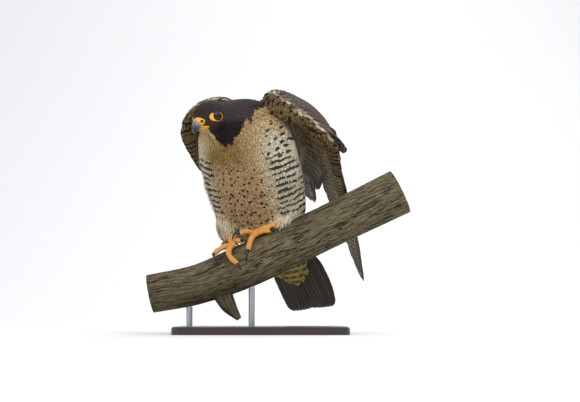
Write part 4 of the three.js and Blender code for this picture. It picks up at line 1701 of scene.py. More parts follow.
    def build(self) -> None:
        """Make the coat's pieces, each over its own stretch of the skin, and dress the skin."""
        places = moved(fetch(self.skin.data.vertices, "co", 3) / MM, np.linalg.inv(BIRD))
        outs = fetch(self.skin.data.vertex_normals, "vector", 3) @ BIRD[:3, :3]
        spot = Spot(self.anatomy, places, outs, 0)
        store(self.skin.data, "tone", spot.tones() * 0.85, "FLOAT_COLOR")
        store(self.skin.data, "marks", spot.marks(), "FLOAT_VECTOR")
        store(self.skin.data, "run", spot.run)
        found = self.anatomy.read(places)
        names = self.anatomy.names[found["nearest"]]
        x, y, z = places.T
        hx, hy, hz = moved(places, np.linalg.inv(HEAD)).T
        cere = (hy < -29.5) & (np.abs(hx) < 13) & (np.abs(hz + 3.5) < 8.5)
        clear = (Head().bare(np.stack([hx, hy, hz], 1)) > 0.6) & ~cere
        skull = np.isin(names, ["skull", "brow"])
        thigh = np.isin(names, ["left_thigh", "right_thigh"])
        wing = np.isin(names, ["left_arm", "right_arm", "left_hand", "right_hand"])
        torso, behind = names == "torso", y - 0.45 * (z - 100) > 20
        breast = torso & ~behind
        tail = names == "tail_root"
        near = found["shares"][list(self.anatomy.names).index("tail_root")] < 0.42
        sleek = dict(fine=True, stand=0.4, scale=1.1, hug=0.95, narrow=0.85)
        for plan, cover in (
            (CoatPiece("head_feathers", 1.6, 1, "dark_feathers", True), skull & clear),
            (CoatPiece("neck_feathers", 2.7, 2, "dark_feathers", True), names == "neck"),
            (CoatPiece("left_breast_feathers", 3.2, 3, "pale_feathers", **sleek), breast & (x > 0)),
            (CoatPiece("right_breast_feathers", 3.2, 9, "pale_feathers", **sleek), breast & ~(x > 0)),
            (CoatPiece("back_feathers", 4.6, 7, "wing_feathers"), torso & behind),
            (CoatPiece("leg_feathers", 3.2, 4, "pale_feathers", True, 2, hug=0.7, narrow=0.7), thigh),
            (CoatPiece("loose_feathers", 4.5, 8, "pale_feathers", True, 4, 1.2, 0.5, 0.16),
             thigh | (breast & (np.abs(x) > 58) & (z < 110))),
            (CoatPiece("wing_coverts", 3.6, 5, "wing_feathers", True), wing),
            (CoatPiece("tail_coverts", 5.0, 6, "pale_feathers"), tail & near),
        ):
            self.grow_piece(plan, cover)
        flesh = ("torso", "neck", "head", "left_thigh", "right_thigh")
        give(self.skin, SkinFinish().make(), "pale_feathers", flesh)


@dataclass
class FeatherRow:
    """A row of flight feathers or coverts laid in a fan, its roots and tips on two curves."""

    count: int
    roots: np.ndarray
    tips: tuple
    fan: Fan
    hand: int = 1
    lead: tuple = (10, 12)
    trail: tuple = (14, 16)
    level: float = 0
    top: float = 0
    share: float = 1
    sweep: float = 0
    blunt: float = 0.5
    barred: float = 1.0
    rows: int = 20
    thick: float = 0.6

    def plans(self, rng: np.random.Generator) -> list:
        """Each feather's place and size; level and top are the first's and the last's height.

        Args:
            rng: The draws.

        Returns:
            Root, tip and two half widths of each.
        """
        t = np.linspace(0, 1, self.count)
        roots, far = Spline(self.roots).at(t), Spline(self.tips).at(t)
        tips = roots + (far - roots) * (self.share * rng.uniform(0.985, 1.015, (self.count, 1)))
        level, lead, trail = (a + (b - a) * t for a, b in ((self.level, self.top), self.lead, self.trail))
        return [
            (self.fan.laid(root, high), self.fan.laid(tip, high), wide, deep)
            for root, tip, high, wide, deep in zip(roots, tips, level, lead, trail)
        ]


class Quills:
    """Flight feathers and large coverts, gathered into pieces."""

    columns = (-1, -0.8, -0.55, -0.3, -0.06, 0, 0.06, 0.3, 0.55, 0.8, 1)

    def __init__(self, seed: int) -> None:
        """Start an empty gathering.

        Args:
            seed: The seed of its draws.
        """
        self.rng = np.random.default_rng(seed)
        self.verts, self.faces, self.vane, self.cells = [], [], [], []
        self.facts = {"under": [], "seed": [], "barred": [], "long": []}
        self.count = 0

    def add(self, *rows: FeatherRow) -> None:
        """Add rows of feathers.

        Args:
            rows: The rows, in the order of their draws.
        """
        for row in rows:
            for plan in row.plans(self.rng):
                self.feather(row, *plan)

    def shape(self, row: FeatherRow, root: np.ndarray, tip: np.ndarray, lead: float, trail: float) -> tuple:
        """One feather's grid: a frayed vane that narrows to its tip, with a raised shaft.

        Args:
            row: The row that it is in.
            root: Where it starts.
            tip: Where its shaft ends.
            lead: Half width of its leading web.
            trail: Half width of its trailing web.

        Returns:
            Points of the upper and the lower face, the rim, and shares along.
        """
        span = tip - root
        length = float(np.linalg.norm(span))
        along = span / length
        normal = unit(row.fan.up)
        side = unit(np.cross(along, normal)) * row.hand
        v = np.linspace(0, 1, row.rows + 1) ** 0.9
        swept = (4 * row.sweep * row.share * v * (1 - v))[:, None]
        centre = root + along * (length * v)[:, None] + side * swept
        narrow = np.where(v > 0.6, 1 - (1 - row.blunt) * ((v - 0.6) / 0.4) ** 2, 1)
        round_tip = np.sqrt(np.clip(1 - np.clip((v - 0.9) / 0.1, 0, 1) ** 2, 0.02, 1))
        uu, vv = np.meshgrid(np.array(self.columns), v)
        wide = np.where(uu > 0, lead, trail) * (np.minimum(1, 0.4 + 2.2 * v) * narrow * round_tip)[:, None]
        wobble = self.rng.normal(0, 0.012, uu.shape) * (np.abs(uu) > 0.7)
        for _ in range(2):
            at, web = self.rng.uniform(0.35, 0.95), self.rng.choice([-1, 1])
            wobble -= 0.09 * (np.sign(uu) == web) * (np.abs(uu) > 0.7) * np.exp(-(((vv - at) / 0.012) ** 2))
        rim = (np.abs(uu) > 0.999) | (vv < 1e-6) | (vv > 1 - 1e-6)
        half = row.thick / 2 * (1 - 0.55 * vv) * np.where(np.abs(uu) < 0.1, 1.9, 1) * ~rim
        flat = row.fan.bent(centre[:, None] + side * (uu * wide * (1 + wobble))[..., None])
        base = flat + normal * (-0.05 * wide * uu**2)[..., None]
        return base + normal * half[..., None], base - normal * half[..., None], rim, v, length

    def feather(self, row: FeatherRow, root: np.ndarray, tip: np.ndarray, lead: float, trail: float) -> None:
        """Add one feather.

        Args:
            row: The row that it is in.
            root: Where it starts.
            tip: Where its shaft ends.
            lead: Half width of its leading web.
            trail: Half width of its trailing web.
        """
        top, below, rim, v, length = self.shape(row, root, tip, lead, trail)
        verts, index, lower = two_faced(top, below, rim)
        offset = sum(len(p) for p in self.verts)
        self.verts.append(verts)
        u = np.array(self.columns)
        for cell in grid_cells(row.rows, len(u) - 1):
            for under, grid in enumerate((index, lower)):
                order = cell if bool(under) == (row.hand > 0) else cell[::-1]
                self.faces.append([grid[k] + offset for k in order])
                self.vane += [(u[c], v[r]) for r, c in order]
                self.cells += [
                    (self.count, (under + (u[c] + 1) / 2 * 0.9 + 0.05) / 2, v[r] * 0.96 + 0.02)
                    for r, c in order
                ]
        under = np.ones(len(verts))
        under[: rim.size] = rim.ravel() * 0.5
        self.facts["under"].append(under)
        for key, value in (("seed", self.rng.uniform()), ("barred", row.barred), ("long", length)):
            self.facts[key].append(np.full(len(verts), value))
        self.count += 1

    def piece(self, name: str, material: bpy.types.Material, slot: str, nodes: tuple = ()) -> None:
        """Make the piece.

        Args:
            name: Its name.
            material: Its finish.
            slot: The record's material slot.
            nodes: The solids that it stands for.
        """
        made = mesh_object(name, np.vstack(self.verts), self.faces, BIRD)
        lay_map(made.data, "vane", self.vane)
        own, across, along = np.array(self.cells).T
        wide = math.ceil(math.sqrt(self.count * 2))
        tall = math.ceil(self.count / wide)
        lay_map(made.data, "OFBake", np.stack([(own % wide + across) / wide, (own // wide + along) / tall], 1))
        for key, rows in self.facts.items():
            store(made.data, key, np.concatenate(rows))
        smooth(made)
        give(made, material, slot, nodes)


@dataclass(frozen=True)
class Wing:
    """One wing's flight feathers and large coverts."""

    plan: WingPlan

    def rows(self, line: tuple, count: int, webs: tuple, tiers: tuple, **sizes: float) -> list:
        """Rows of feathers on one line.

        Args:
            line: Its roots, tips and fan.
            count: Feathers in a row.
            webs: Half widths of the first and last feathers' leading webs, and of their trailing webs.
            tiers: Each row's share of the reach, and its first and last feathers' levels.
            sizes: The rows' other sizes.

        Returns:
            The rows.
        """
        return [
            FeatherRow(count, *line, self.plan.hand, *webs, low, high, share, **sizes)
            for share, low, high in tiers
        ]

    def build(self, quill: bpy.types.Material, inner: bpy.types.Material, lining: bpy.types.Material) -> None:
        """Make the hand's and the arm's feathers.

        Args:
            quill: Finish of the hand's flight feathers and upper coverts.
            inner: Finish of the arm's.
            lining: Finish of the coverts below.
        """
        plan, rows = self.plan, self.rows
        hand_line = (plan.hand_roots(), plan.primary_tips, plan.hand_fan)
        arm_line = (plan.arm_roots(), plan.secondary_tips, plan.arm_fan)
        back_line = (plan.inner_roots(), plan.inner_tips, plan.arm_fan)
        alula_line = (np.array(plan.alula_roots), plan.alula_tips, plan.alula_fan)
        wrist_line = (np.array(plan.wrist_roots), plan.wrist_tips, plan.hand_fan)
        faint = dict(barred=0.25, rows=12)
        hand, arm, below = (Quills(seed + plan.hand) for seed in (11, 21, 41))
        hand.add(
            *rows(hand_line, 10, ((6, 11), (15, 17)), ((1, -4, 5),), sweep=3, blunt=0.35, rows=30, thick=0.7),
            *rows(hand_line, 11, ((8, 10), (11, 12)), ((0.4, -1.5, 6.6), (0.27, -0.2, 7.8), (0.17, 0.8, 8.8)),
                  sweep=3, **faint),
            *rows(alula_line, 4, ((6, 6), (8, 8)), ((1, 0, 3.2),), blunt=0.6, barred=0.5, rows=14),
            *rows(wrist_line, 7, ((11, 11), (13, 13)), ((1, 7, 10),), blunt=0.85, barred=1.3, rows=12),
        )
        arm.add(
            *rows(arm_line, 15, ((9, 11), (13, 14)), ((1, -5.5, 4.5),), rows=24, thick=0.7, blunt=0.8),
            *rows(back_line, 5, ((11, 11), (14, 14)), ((1, 5.2, 7.6),), blunt=0.85, rows=18),
            *rows(back_line, 5, ((11, 11), (13, 13)), ((0.6, 8.4, 10.4), (0.42, 10, 12), (0.28, 11.6, 13.6)),
                  barred=0.25, rows=18),
            *rows(arm_line, 15, ((8, 10), (11, 12)),
                  ((0.52, -1.5, 7.6), (0.38, 0, 9.2), (0.27, 1.6, 10.8), (0.18, 3.2, 12.4)), **faint),
        )
        below.add(
            *rows(arm_line, 15, ((8, 9), (10, 11)),
                  ((0.66, -7, 3), (0.5, -8.2, 1.5), (0.38, -9.4, 0), (0.28, -10.4, -1.4)), rows=12),
            *rows(hand_line, 11, ((7, 8), (9, 10)), ((0.42, -5.2, 3.4), (0.3, -6.2, 2), (0.2, -7, 0.8)),
                  sweep=3, rows=12),
            *rows(back_line, 5, ((11, 11), (13, 13)), ((0.6, 3.4, 5.4), (0.44, 1.8, 3.8)), rows=18),
        )
        hand.piece(f"{plan.side}_hand_feathers", quill, "flight_feathers", (f"{plan.side}_wing_hand",))
        arm.piece(f"{plan.side}_arm_feathers", inner, "flight_feathers", (f"{plan.side}_wing_arm",))
        below.piece(f"{plan.side}_lining", lining, "wing_feathers")


@dataclass(frozen=True)
class Tail:
    """Tail feathers and the coverts over and under their roots."""

    half: int = 6
    root_edges: tuple = (-23, 40)
    tip_edges: tuple = (-34, 36)

    def build(self, quill: bpy.types.Material, lining: bpy.types.Material) -> None:
        """Make the fan and its coverts.

        Args:
            quill: Finish of the tail feathers.
            lining: Finish of the coverts below.
        """
        fan = Quills(31)
        for side in (1, -1):
            end = 1 if side > 0 else 0
            for i in range(self.half):
                t = i / (self.half - 1)
                level = 1.0 if side < 0 and i == 0 else -1.0 * i
                root = np.array([12 + 3 * side * (1 - t) + self.root_edges[end] * t, 90, -6])
                tip = np.array([
                    16 + 4 * side * (1 - t) + self.tip_edges[end] * t, 212 - 3 * t * t, -103 + 3 * t * t,
                ])
                self.lay(fan, root, tip, level, (10.5 if i else 8, 14 + 3 * t), hand=side, sweep=6 * t * end,
                         blunt=0.72, barred=0.2, rows=26, thick=0.8)
        self.coverts(fan, 78, 14, 5.0, 3)
        fan.piece("tail_feathers", quill, "flight_feathers", ("tail",))
        below = Quills(33)
        self.coverts(below, 112, 11.5, -9.0, 5)
        below.piece("vent_coverts", lining, "pale_feathers")

    @staticmethod
    def lay(fan: Quills, root: np.ndarray, tip: np.ndarray, level: float, webs: tuple, **sizes: float) -> None:
        """Add one feather of the tail.

        Args:
            fan: Where it is gathered.
            root: Where it starts.
            tip: Where it ends.
            level: Its height over the fan's plane.
            webs: Half widths of its two webs.
            sizes: Its other sizes.
        """
        row = FeatherRow(1, root, (), TAIL_FAN, **sizes)
        fan.feather(row, TAIL_FAN.laid(root, level), TAIL_FAN.laid(tip, level), *webs)

    def coverts(self, fan: Quills, reach: float, spread: float, level: float, tiers: int) -> None:
        """Tiers of coverts, each shorter than the one that it lies on.

        Args:
            fan: Where they are gathered.
            reach: Length of the longest.
            spread: How far apart their tips are.
            level: Height of the longest over the fan's plane, negative below it.
            tiers: How many tiers.
        """
        for tier in range(tiers):
            long = reach * (1 - 0.2 * tier)
            for k in range(-2, 3 + tier % 2):
                place = k - 0.5 * (tier % 2)
                height = level + math.copysign(1.1, level) * (tier - 0.5 * abs(place))
                bend = 0.86 + 0.14 * math.cos(place)
                root = np.array([6 + place * spread * 0.5, 74, 10])
                tip = np.array([12 + place * spread, 74 + long * bend * 0.77, 10 - long * bend * 0.64])
                self.lay(fan, root, tip, height, (11, 11), blunt=0.5, barred=0.8, rows=12, thick=0.6)


@dataclass(frozen=True)
class Perch:
    """The cut branch of grey weathered wood, with its broken stub."""

    branch: Limb = Limb(PERCH_LINE, PERCH_RADII, 180, 300, 0)
    stub: Limb = Limb(STUB_LINE, STUB_RADII, 60, 40, 0.3)
    stub_start: float = 600
    skin: float = 0.25
    groove: float = 2.8
    pith: float = 36

    def stretch(self, wood: Limb, start: float) -> tuple:
        """One round stretch of wood with its grain and cracks.

        Args:
            wood: Its form.
            start: Where its grain starts.

        Returns:
            Vertices, faces, and five values of each vertex: depth, ring, cut, length along and angle.
        """
        verts, faces, share, angle = wood.shell()
        path = Spline(wood.points)
        out = verts - path.at(path.by_length(share))
        long = start + share * path.length()
        depth = np.array([self.relief(a, b) for a, b in zip(long, angle)])
        sawn = np.zeros(len(verts))
        sawn[-2:] = 0 if wood.bulge else 1
        push = np.where(sawn > 0, 0, -self.skin - self.groove * depth)
        ring = np.linalg.norm(out, axis=1) * (1 - sawn) / self.pith
        return verts + unit(out) * push[:, None], faces, (depth, ring, sawn, long, angle)

    def build(self, material: bpy.types.Material) -> None:
        """Make the branch with its grain, cracks and stub.

        Args:
            material: Its finish.
        """
        stretches = [self.stretch(self.branch, 0), self.stretch(self.stub, self.stub_start)]
        made = mesh_object("branch_wood", *stacked(stretches), np.eye(4))
        depth, ring, cut, long, angle = (np.concatenate(rows) for rows in zip(*(s[2] for s in stretches)))
        for key, values in (("depth", depth), ("ring", ring), ("cut", cut)):
            store(made.data, key, values)
        self.map_bark(made.data, long, angle)
        smooth(made)
        give(made, material, "weathered_wood", ("perch",))

    @staticmethod
    def relief(long: float, angle: float) -> float:
        """Depth of the grain and cracks at a place on the bark.

        Args:
            long: Millimetres along.
            angle: Angle round it.

        Returns:
            A depth from 0 to 1.
        """
        def rough(turned: float, fine: float, run: float, shift: float = 0) -> float:
            """Noise on the bark, finer round it by a factor, over a run along it."""
            return noise.noise(Vector((math.cos(turned) * fine, math.sin(turned) * fine, long / run + shift)))

        twist = angle + 0.3 * rough(angle, 1.4, 80)
        line = abs(rough(twist, 5, 150)) / 0.055
        open_here = min(1.0, max(0.0, 0.4 + 1.6 * rough(twist, 2, 60, 9)))
        fine = abs(rough(twist, 16, 60)) / 0.1
        crack = max(0.0, 1 - line) * open_here + 0.35 * max(0.0, 1 - fine)
        depth = 0.2 + 0.16 * rough(angle, 1.3, 90) + 0.08 * rough(twist, 30, 16) + 0.62 * crack
        return min(1.0, max(0.0, depth))

    @staticmethod
    def map_bark(mesh: bpy.types.Mesh, long: np.ndarray, angle: np.ndarray) -> None:
        """Lay the bark out by its length and its girth, without a torn seam.

        Args:
            mesh: The branch.
            long: Length along, for each vertex.
            angle: Angle round, for each vertex.
        """
        corner = fetch(mesh.loops, "vertex_index", kind=np.int32)
        total = fetch(mesh.polygons, "loop_total", kind=np.int32)
        around = angle[corner] / TURN
        face = np.repeat(np.arange(len(total)), total)
        low, high = np.full(len(total), 9.0), np.full(len(total), -9.0)
        np.minimum.at(low, face, around)
        np.maximum.at(high, face, around)
        torn = (high - low)[face] > 0.5
        around = np.where(torn & (around < 0.5), around + 1, around)
        lay_map(mesh, "bark", np.stack([around * 0.22, long[corner] / 1000], 1))


@dataclass(frozen=True)
class Toe:
    """A toe's route over the branch; start, end and the claw's end are each along, round and height."""

    name: str
    start: tuple
    end: tuple
    arch: float
    claw: tuple
    bend: float = 0


@dataclass(frozen=True)
class Foot:
    """A foot's side, its ankle in the bird's frame, and its toes."""

    side: str
    ankle: tuple
    toes: tuple


@dataclass
class Feet:
    """Scaled toes and curved claws that grip the branch."""

    toe_radii: tuple = (5, 4.2, 4.7, 3.9, 4.4, 3.4)
    claw_radii: tuple = (2.8, 2.2, 1.5, 0.3)
    shank_radii: tuple = (6.2, 5.4)
    scale_length: float = 2.7
    feet: tuple = (
        Foot("left", (42, 2, 24), (
            Toe("middle", (27, 22, 6), (7, 60, 4.6), 2, (-3, 86, 1.5)),
            Toe("inner", (25, 14, 8), (6, 20, 17), 3, (-11, 25, 13)),
            Toe("outer", (29, 20, 5), (52, 34, 4.5), 2, (64, 46, 1)),
            Toe("hind", (27, 13, 6), (22, -38, 4.5), 1, (18, -66, 1)),
        )),
        Foot("right", (-28, -10, 8), (
            Toe("middle", (-12, 24, 6), (-17, 80, 4.6), 2, (-15, 100, 1.5), -9),
            Toe("inner", (-9, 14, 6), (2, 26, 5.5), 3, (10, 34, 1.5)),
            Toe("outer", (-15, 22, 6), (-47, 30, 7), 3, (-47, 60, 1)),
            Toe("hind", (-13, 13, 6), (-20, -38, 4.5), 1, (-24, -66, 1)),
        )),
    )

    def __post_init__(self) -> None:
        """Measure the branch."""
        self.path = Spline(PERCH_LINE)
        self.size = Spline([(r, 0, 0) for r in PERCH_RADII])
        before = np.linalg.norm(np.diff(self.path.at(np.linspace(0, 0.5, 201)), axis=0), axis=1)
        self.middle = float(before.sum())

    def place(self, along: float, around: float, high: float) -> np.ndarray:
        """A point over the branch.

        Args:
            along: Millimetres up the branch from the stance.
            around: Degrees from its top towards the front.
            high: Height over the wood.

        Returns:
            The point in the stand's frame.
        """
        t = self.path.by_length(np.array([(self.middle + along) / self.path.length()]))
        ahead = np.array([0.0, -1, 0])
        top = unit(-np.cross(self.path.tangent(t)[0], ahead))
        angle = math.radians(around)
        out = top * math.cos(angle) + ahead * math.sin(angle)
        return self.path.at(t)[0] + out * (self.size.at(t)[0, 0] + high)

    def toe(self, toe: Toe) -> tuple:
        """A scaled toe.

        Args:
            toe: Its route.

        Returns:
            Vertices, faces and how deep each vertex is in a groove, which sets its painted shade.
        """
        points = []
        for k in np.linspace(0, 1, 6):
            along, around, high = (a + (b - a) * k for a, b in zip(toe.start, toe.end))
            arch = math.sin(math.pi * k)
            points.append(self.place(along + toe.bend * arch, around, high + toe.arch * arch))
        long = Spline(points).length()
        count = max(6, round(long / self.scale_length))
        groove = lambda share: np.exp(-((((share * count) % 1) - 0.5) / 0.13) ** 2)
        verts, faces, share, _ = Limb(points, self.toe_radii, 28, int(long / 0.45), 0.6).shell(
            lambda share, angle: 1.03 - 0.12 * groove(share) - 0.06 * ((share * count) % 1)
        )
        return verts, faces, groove(share) * 0.45

    def claw(self, toe: Toe) -> tuple:
        """A claw that curves down from a toe's end.

        Args:
            toe: The toe.

        Returns:
            Vertices, faces and shares of its length.
        """
        (a, r, h), (ca, cr, ch) = toe.end, toe.claw
        points = [self.place(a, r, h + 0.2)]
        for k, lift in ((0.33, 4.6), (0.66, 4.8)):
            points.append(self.place(a + (ca - a) * k, r + (cr - r) * k, h + (ch - h) * k**2 + lift))
        points.append(self.place(ca, cr, ch - 0.6))
        return Limb(points, self.claw_radii, 20, 36, 0.8).shell()[:3]

    def build(self) -> None:
        """Make both feet."""
        # The second colour is painted shade, for the grooves between the scales.
        colors = (linear(222, 138, 44), linear(140, 76, 22), linear(238, 182, 96))
        skin = BareSkinFinish("foot_skin", *colors, 560, 0.35).make()
        horns = (linear(26, 25, 27), linear(10, 9, 11))
        horn = HornFinish("claw_horn", *horns, 0.0, 0.6, linear(60, 52, 44)).make()
        for foot in self.feet:
            along, around, _ = foot.toes[0].start
            pad = self.place(along, around - 6, 7)
            ankle = moved(np.array([foot.ankle]), BIRD)[0]
            verts, faces, _, _ = Limb([ankle, pad], self.shank_radii, 28, 30).shell()
            toes = [self.toe(toe) for toe in foot.toes] + [(verts, faces, np.zeros(len(verts)))]
            joined(f"{foot.side}_toes", toes, "low", (skin, "yellow_skin"), (f"{foot.side}_foot",), np.eye(4))
            claws = [self.claw(toe) for toe in foot.toes]
            nodes = tuple(f"{foot.side}_claw_{toe.name}" for toe in foot.toes)
            joined(f"{foot.side}_claws", claws, "share", (horn, "claw_horn"), nodes, np.eye(4))


@dataclass(frozen=True)
class EyeSocket:
    """Where one eye sits, and the look, ahead and up directions of its ring; side is 1 on the left."""

    side: int

    @property
    def name(self) -> str:
        """The side's name."""
        return "left" if self.side > 0 else "right"

    def axes(self) -> tuple:
        """The eye's place and directions in the head's frame.

        Returns:
            Place, look, ahead and up.
        """
        place = np.array([self.side * EYE_PLACE[0], *EYE_PLACE[1:]])
        look = unit([self.side * EYE_LOOK[0], *EYE_LOOK[1:]])
        ahead = unit(np.array([0, -1, 0]) + look * look[1])
        up = np.cross(look, ahead) * self.side
        return place, look, ahead, up * (1 if up[2] > 0 else -1)

    @staticmethod
    def outline(angle: np.ndarray, part: float) -> np.ndarray:
        """Half widths of the bare ring.

        Args:
            angle: Angles round the eye, from ahead.
            part: 0 at the eye's opening and 1 at the ring's outer edge.

        Returns:
            One half width for each angle.
        """
        c, w = np.cos(angle), np.sin(angle)
        inner = 1 / np.sqrt((c / 8.0) ** 2 + (w / 6.7) ** 2) - 1.0 * w - 0.8 * c
        wide = 1.0 - 0.6 * np.clip(w, 0, 1) - 0.4 * np.clip(-w, 0, 1) + 4.7 * np.clip(c, 0, 1) ** 3
        return inner + wide * part

    def outside(self, points: np.ndarray) -> np.ndarray:
        """How far points in the head's frame are outside the ring.

        Args:
            points: Rows of x, y, z.

        Returns:
            Distances, negative inside.
        """
        place, look, ahead, up = self.axes()
        gap = points - place
        flat = np.hypot(gap @ up, gap @ ahead) - self.outline(np.arctan2(gap @ up, gap @ ahead), 1.0)
        return np.where(gap @ look > 0, flat, 99)


@dataclass(frozen=True)
class Head:
    """Eyes, the bare skin round them, the cere and the bill."""

    cere: Loft = Loft((
        (0, -26, -0.2, 9.8, 8.6, 8), (0, -33, -1.8, 8.6, 7.6, 8), (0, -38.4, -5.2, 7.2, 6.6, 6.8),
    ), caps=(0.1, 0.06))
    upper: Loft = Loft((
        (0, -33, -2.6, 6.6, 5.4, 7), (0, -38.6, -5, 6.6, 5.8, 7), (0, -42.8, -8.6, 5.6, 5.5, 6.2),
        (0, -45.8, -13.2, 3.9, 4.2, 4.4), (0, -47.4, -19.6, 0.9, 0.9, 0.9),
    ), caps=(0.05, 0.08))
    lower: Loft = Loft((
        (0, -24, -12, 9.4, 4.6, 4.2), (0, -31, -12, 7.6, 4.2, 3.8), (0, -37, -12.2, 5.4, 3.6, 3.2),
        (0, -42, -12.6, 3, 2.4, 2.2),
    ), caps=(0.05, 0.2))
    mouth: tuple = ((-36.0, -8.4), (-33, -9.4), (-30, -10.2), (-27.2, -10.8))
    mouth_radii: tuple = (1.3, 1.4, 1.2, 0.5)
    nostril: tuple = (8.1, -35.6, -1.2)
    nostril_radius: float = 2.6
    ring_section: tuple = (
        (0, -1.6), (0, 0.0), (0.08, 0.35), (0.25, 0.5), (0.5, 0.3), (0.8, 0.3), (1, 0.1), (1.04, -1.8),
    )
    ring_sides: int = 72
    bill_sides: int = 72
    bill_rows: int = 90
    eyes: tuple = (EyeSocket(1), EyeSocket(-1))

    def bare(self, points: np.ndarray) -> np.ndarray:
        """How far points in the head's frame are outside the rings, negative inside."""
        return np.minimum(*(eye.outside(points) for eye in self.eyes))

    @staticmethod
    def on_skull(points: np.ndarray, way: np.ndarray, high: float) -> np.ndarray:
        """How far points move along a direction to lie at a height over the skull.

        Args:
            points: Rows in the head's frame.
            way: The direction.
            high: The height.

        Returns:
            One distance for each point.
        """
        low, top = np.full(len(points), -12.0), np.full(len(points), 16.0)
        for _ in range(18):
            mid = (low + top) / 2
            out = SKULL_FORM.locate(points + way * mid[:, None])[2] > high
            top, low = np.where(out, mid, top), np.where(out, low, mid)
        return (low + top) / 2

    @staticmethod
    def ball(eye: EyeSocket, material: bpy.types.Material) -> None:
        """One eye.

        Args:
            eye: Where it sits.
            material: Its finish.
        """
        place, look, ahead, up = eye.axes()
        polar = np.linspace(0, np.pi, 30)[1:-1]
        pp, aa = (grid.ravel() for grid in np.meshgrid(polar, ring_angles(48), indexing="ij"))
        off, high = EYE_RADIUS * np.sin(pp), EYE_RADIUS * np.cos(pp)
        verts = place + look * high[:, None]
        verts = verts + ahead * (off * np.cos(aa))[:, None] + up * (off * np.sin(aa))[:, None]
        verts = np.vstack([verts, place + look * EYE_RADIUS, place - look * EYE_RADIUS])
        parts = [(verts, ring_faces(len(polar), 48), np.concatenate([off, [0, 0]]))]
        joined(f"{eye.name}_eyeball", parts, "off", (material, "eye"), (f"{eye.name}_eye",), HEAD_FRAME)

    def ring(self, eye: EyeSocket, material: bpy.types.Material) -> None:
        """The bare skin round one eye, widest ahead of it, with painted shade at its inner lip and a near-black
        painted shadow along its top, under the brow.

        Args:
            eye: Where it sits.
            material: Its finish.
        """
        place, look, ahead, up = eye.axes()
        angle = ring_angles(self.ring_sides)
        rings, painted_shade = [], []
        for part, high in self.ring_section:
            wide = eye.outline(angle, part)
            flat = place + ahead * (wide * np.cos(angle))[:, None] + up * (wide * np.sin(angle))[:, None]
            ball = np.sqrt(np.clip(EYE_RADIUS**2 - wide**2, 0, None))
            ground = self.on_skull(flat, look, 0.0)
            soft = np.clip(part * 2.2, 0, 1)
            rings.append(flat + look * (np.maximum(ball, ground) * (1 - soft) + ground * soft + high)[:, None])
            # Painted shade: some at the inner lip, and full along the top, under the brow.
            painted_shade.append(np.maximum(0.3 * (part < 0.05), soft_step(np.sin(angle), 0.45, 0.7)))
        count, sides = len(rings), self.ring_sides
        faces = []
        for row in range(count):
            for a in range(sides):
                here, after, b = row * sides, (row + 1) % count * sides, (a + 1) % sides
                faces.append((here + a, here + b, after + b, after + a))
        parts = [(np.vstack(rings), faces, np.concatenate(painted_shade))]
        dress = (material, "yellow_skin")
        joined(f"{eye.name}_eye_ring", parts, "low", dress, (f"{eye.name}_eyelid",), HEAD_FRAME)

    def cere_parts(self) -> list:
        """The cere with its nostrils, and the yellow corners of the mouth.

        Returns:
            Vertices, faces and how much painted shade each vertex takes, full and near-black inside the
            nostrils.
        """
        verts, faces = self.cere.shell(150, 70, 0)
        low = np.zeros(len(verts))
        parts = []
        for side in (1, -1):
            out = np.array([side, 0, 0])
            away = np.linalg.norm(verts - np.array([side * self.nostril[0], *self.nostril[1:]]), axis=1)
            dent = np.clip(1 - (away / self.nostril_radius) ** 2, 0, 1)
            rim = 0.4 * np.exp(-(((away - 2.9) / 0.6) ** 2))
            verts = verts + np.array([side, -0.25, 0]) * (rim - 1.5 * dent)[:, None]
            # The nostrils' insides get full painted shade.
            low = np.maximum(low, (away < self.nostril_radius) * 1.0)
            line = np.array([(side * 8.0, y, z) for y, z in self.mouth])
            line = line + out * self.on_skull(line, out, 0.2)[:, None]
            line[0, 0] = side * 6.6
            corner, corner_faces, _, _ = Limb(line, self.mouth_radii, 16, 30).shell()
            parts.append((corner, corner_faces, np.zeros(len(corner))))
        return [(verts, faces, low), *parts]

    def bill_part(self, loft: Loft, tooth: float) -> tuple:
        """Half of the bill.

        Args:
            loft: Its form.
            tooth: Depth of the tooth on its edge.

        Returns:
            Vertices, faces and shares of its length.
        """
        sides, rows = self.bill_sides, self.bill_rows
        verts, faces = loft.shell(sides, rows, 0)
        t = (1 - np.cos(np.pi * np.linspace(0, 1, rows + 1)[1:-1])) / 2
        share = np.concatenate([np.repeat(t, sides), [0, 1]])
        angle = np.concatenate([np.tile(ring_angles(sides), len(t)), [0, 0]])
        edge = np.exp(-(((share - 0.5) / 0.045) ** 2)) - 0.7 * np.exp(-(((share - 0.62) / 0.05) ** 2))
        turned = np.abs(np.sin(angle * 0.5 + np.pi / 4))
        corner = np.exp(-(((turned - 0.92) / 0.1) ** 2)) * (np.sin(angle) > 0.2)
        verts = verts + np.array([0, -0.3, -1]) * (tooth * edge * corner)[:, None]
        return verts, faces, share

    def build(self) -> None:
        """Make all of the head's own pieces."""
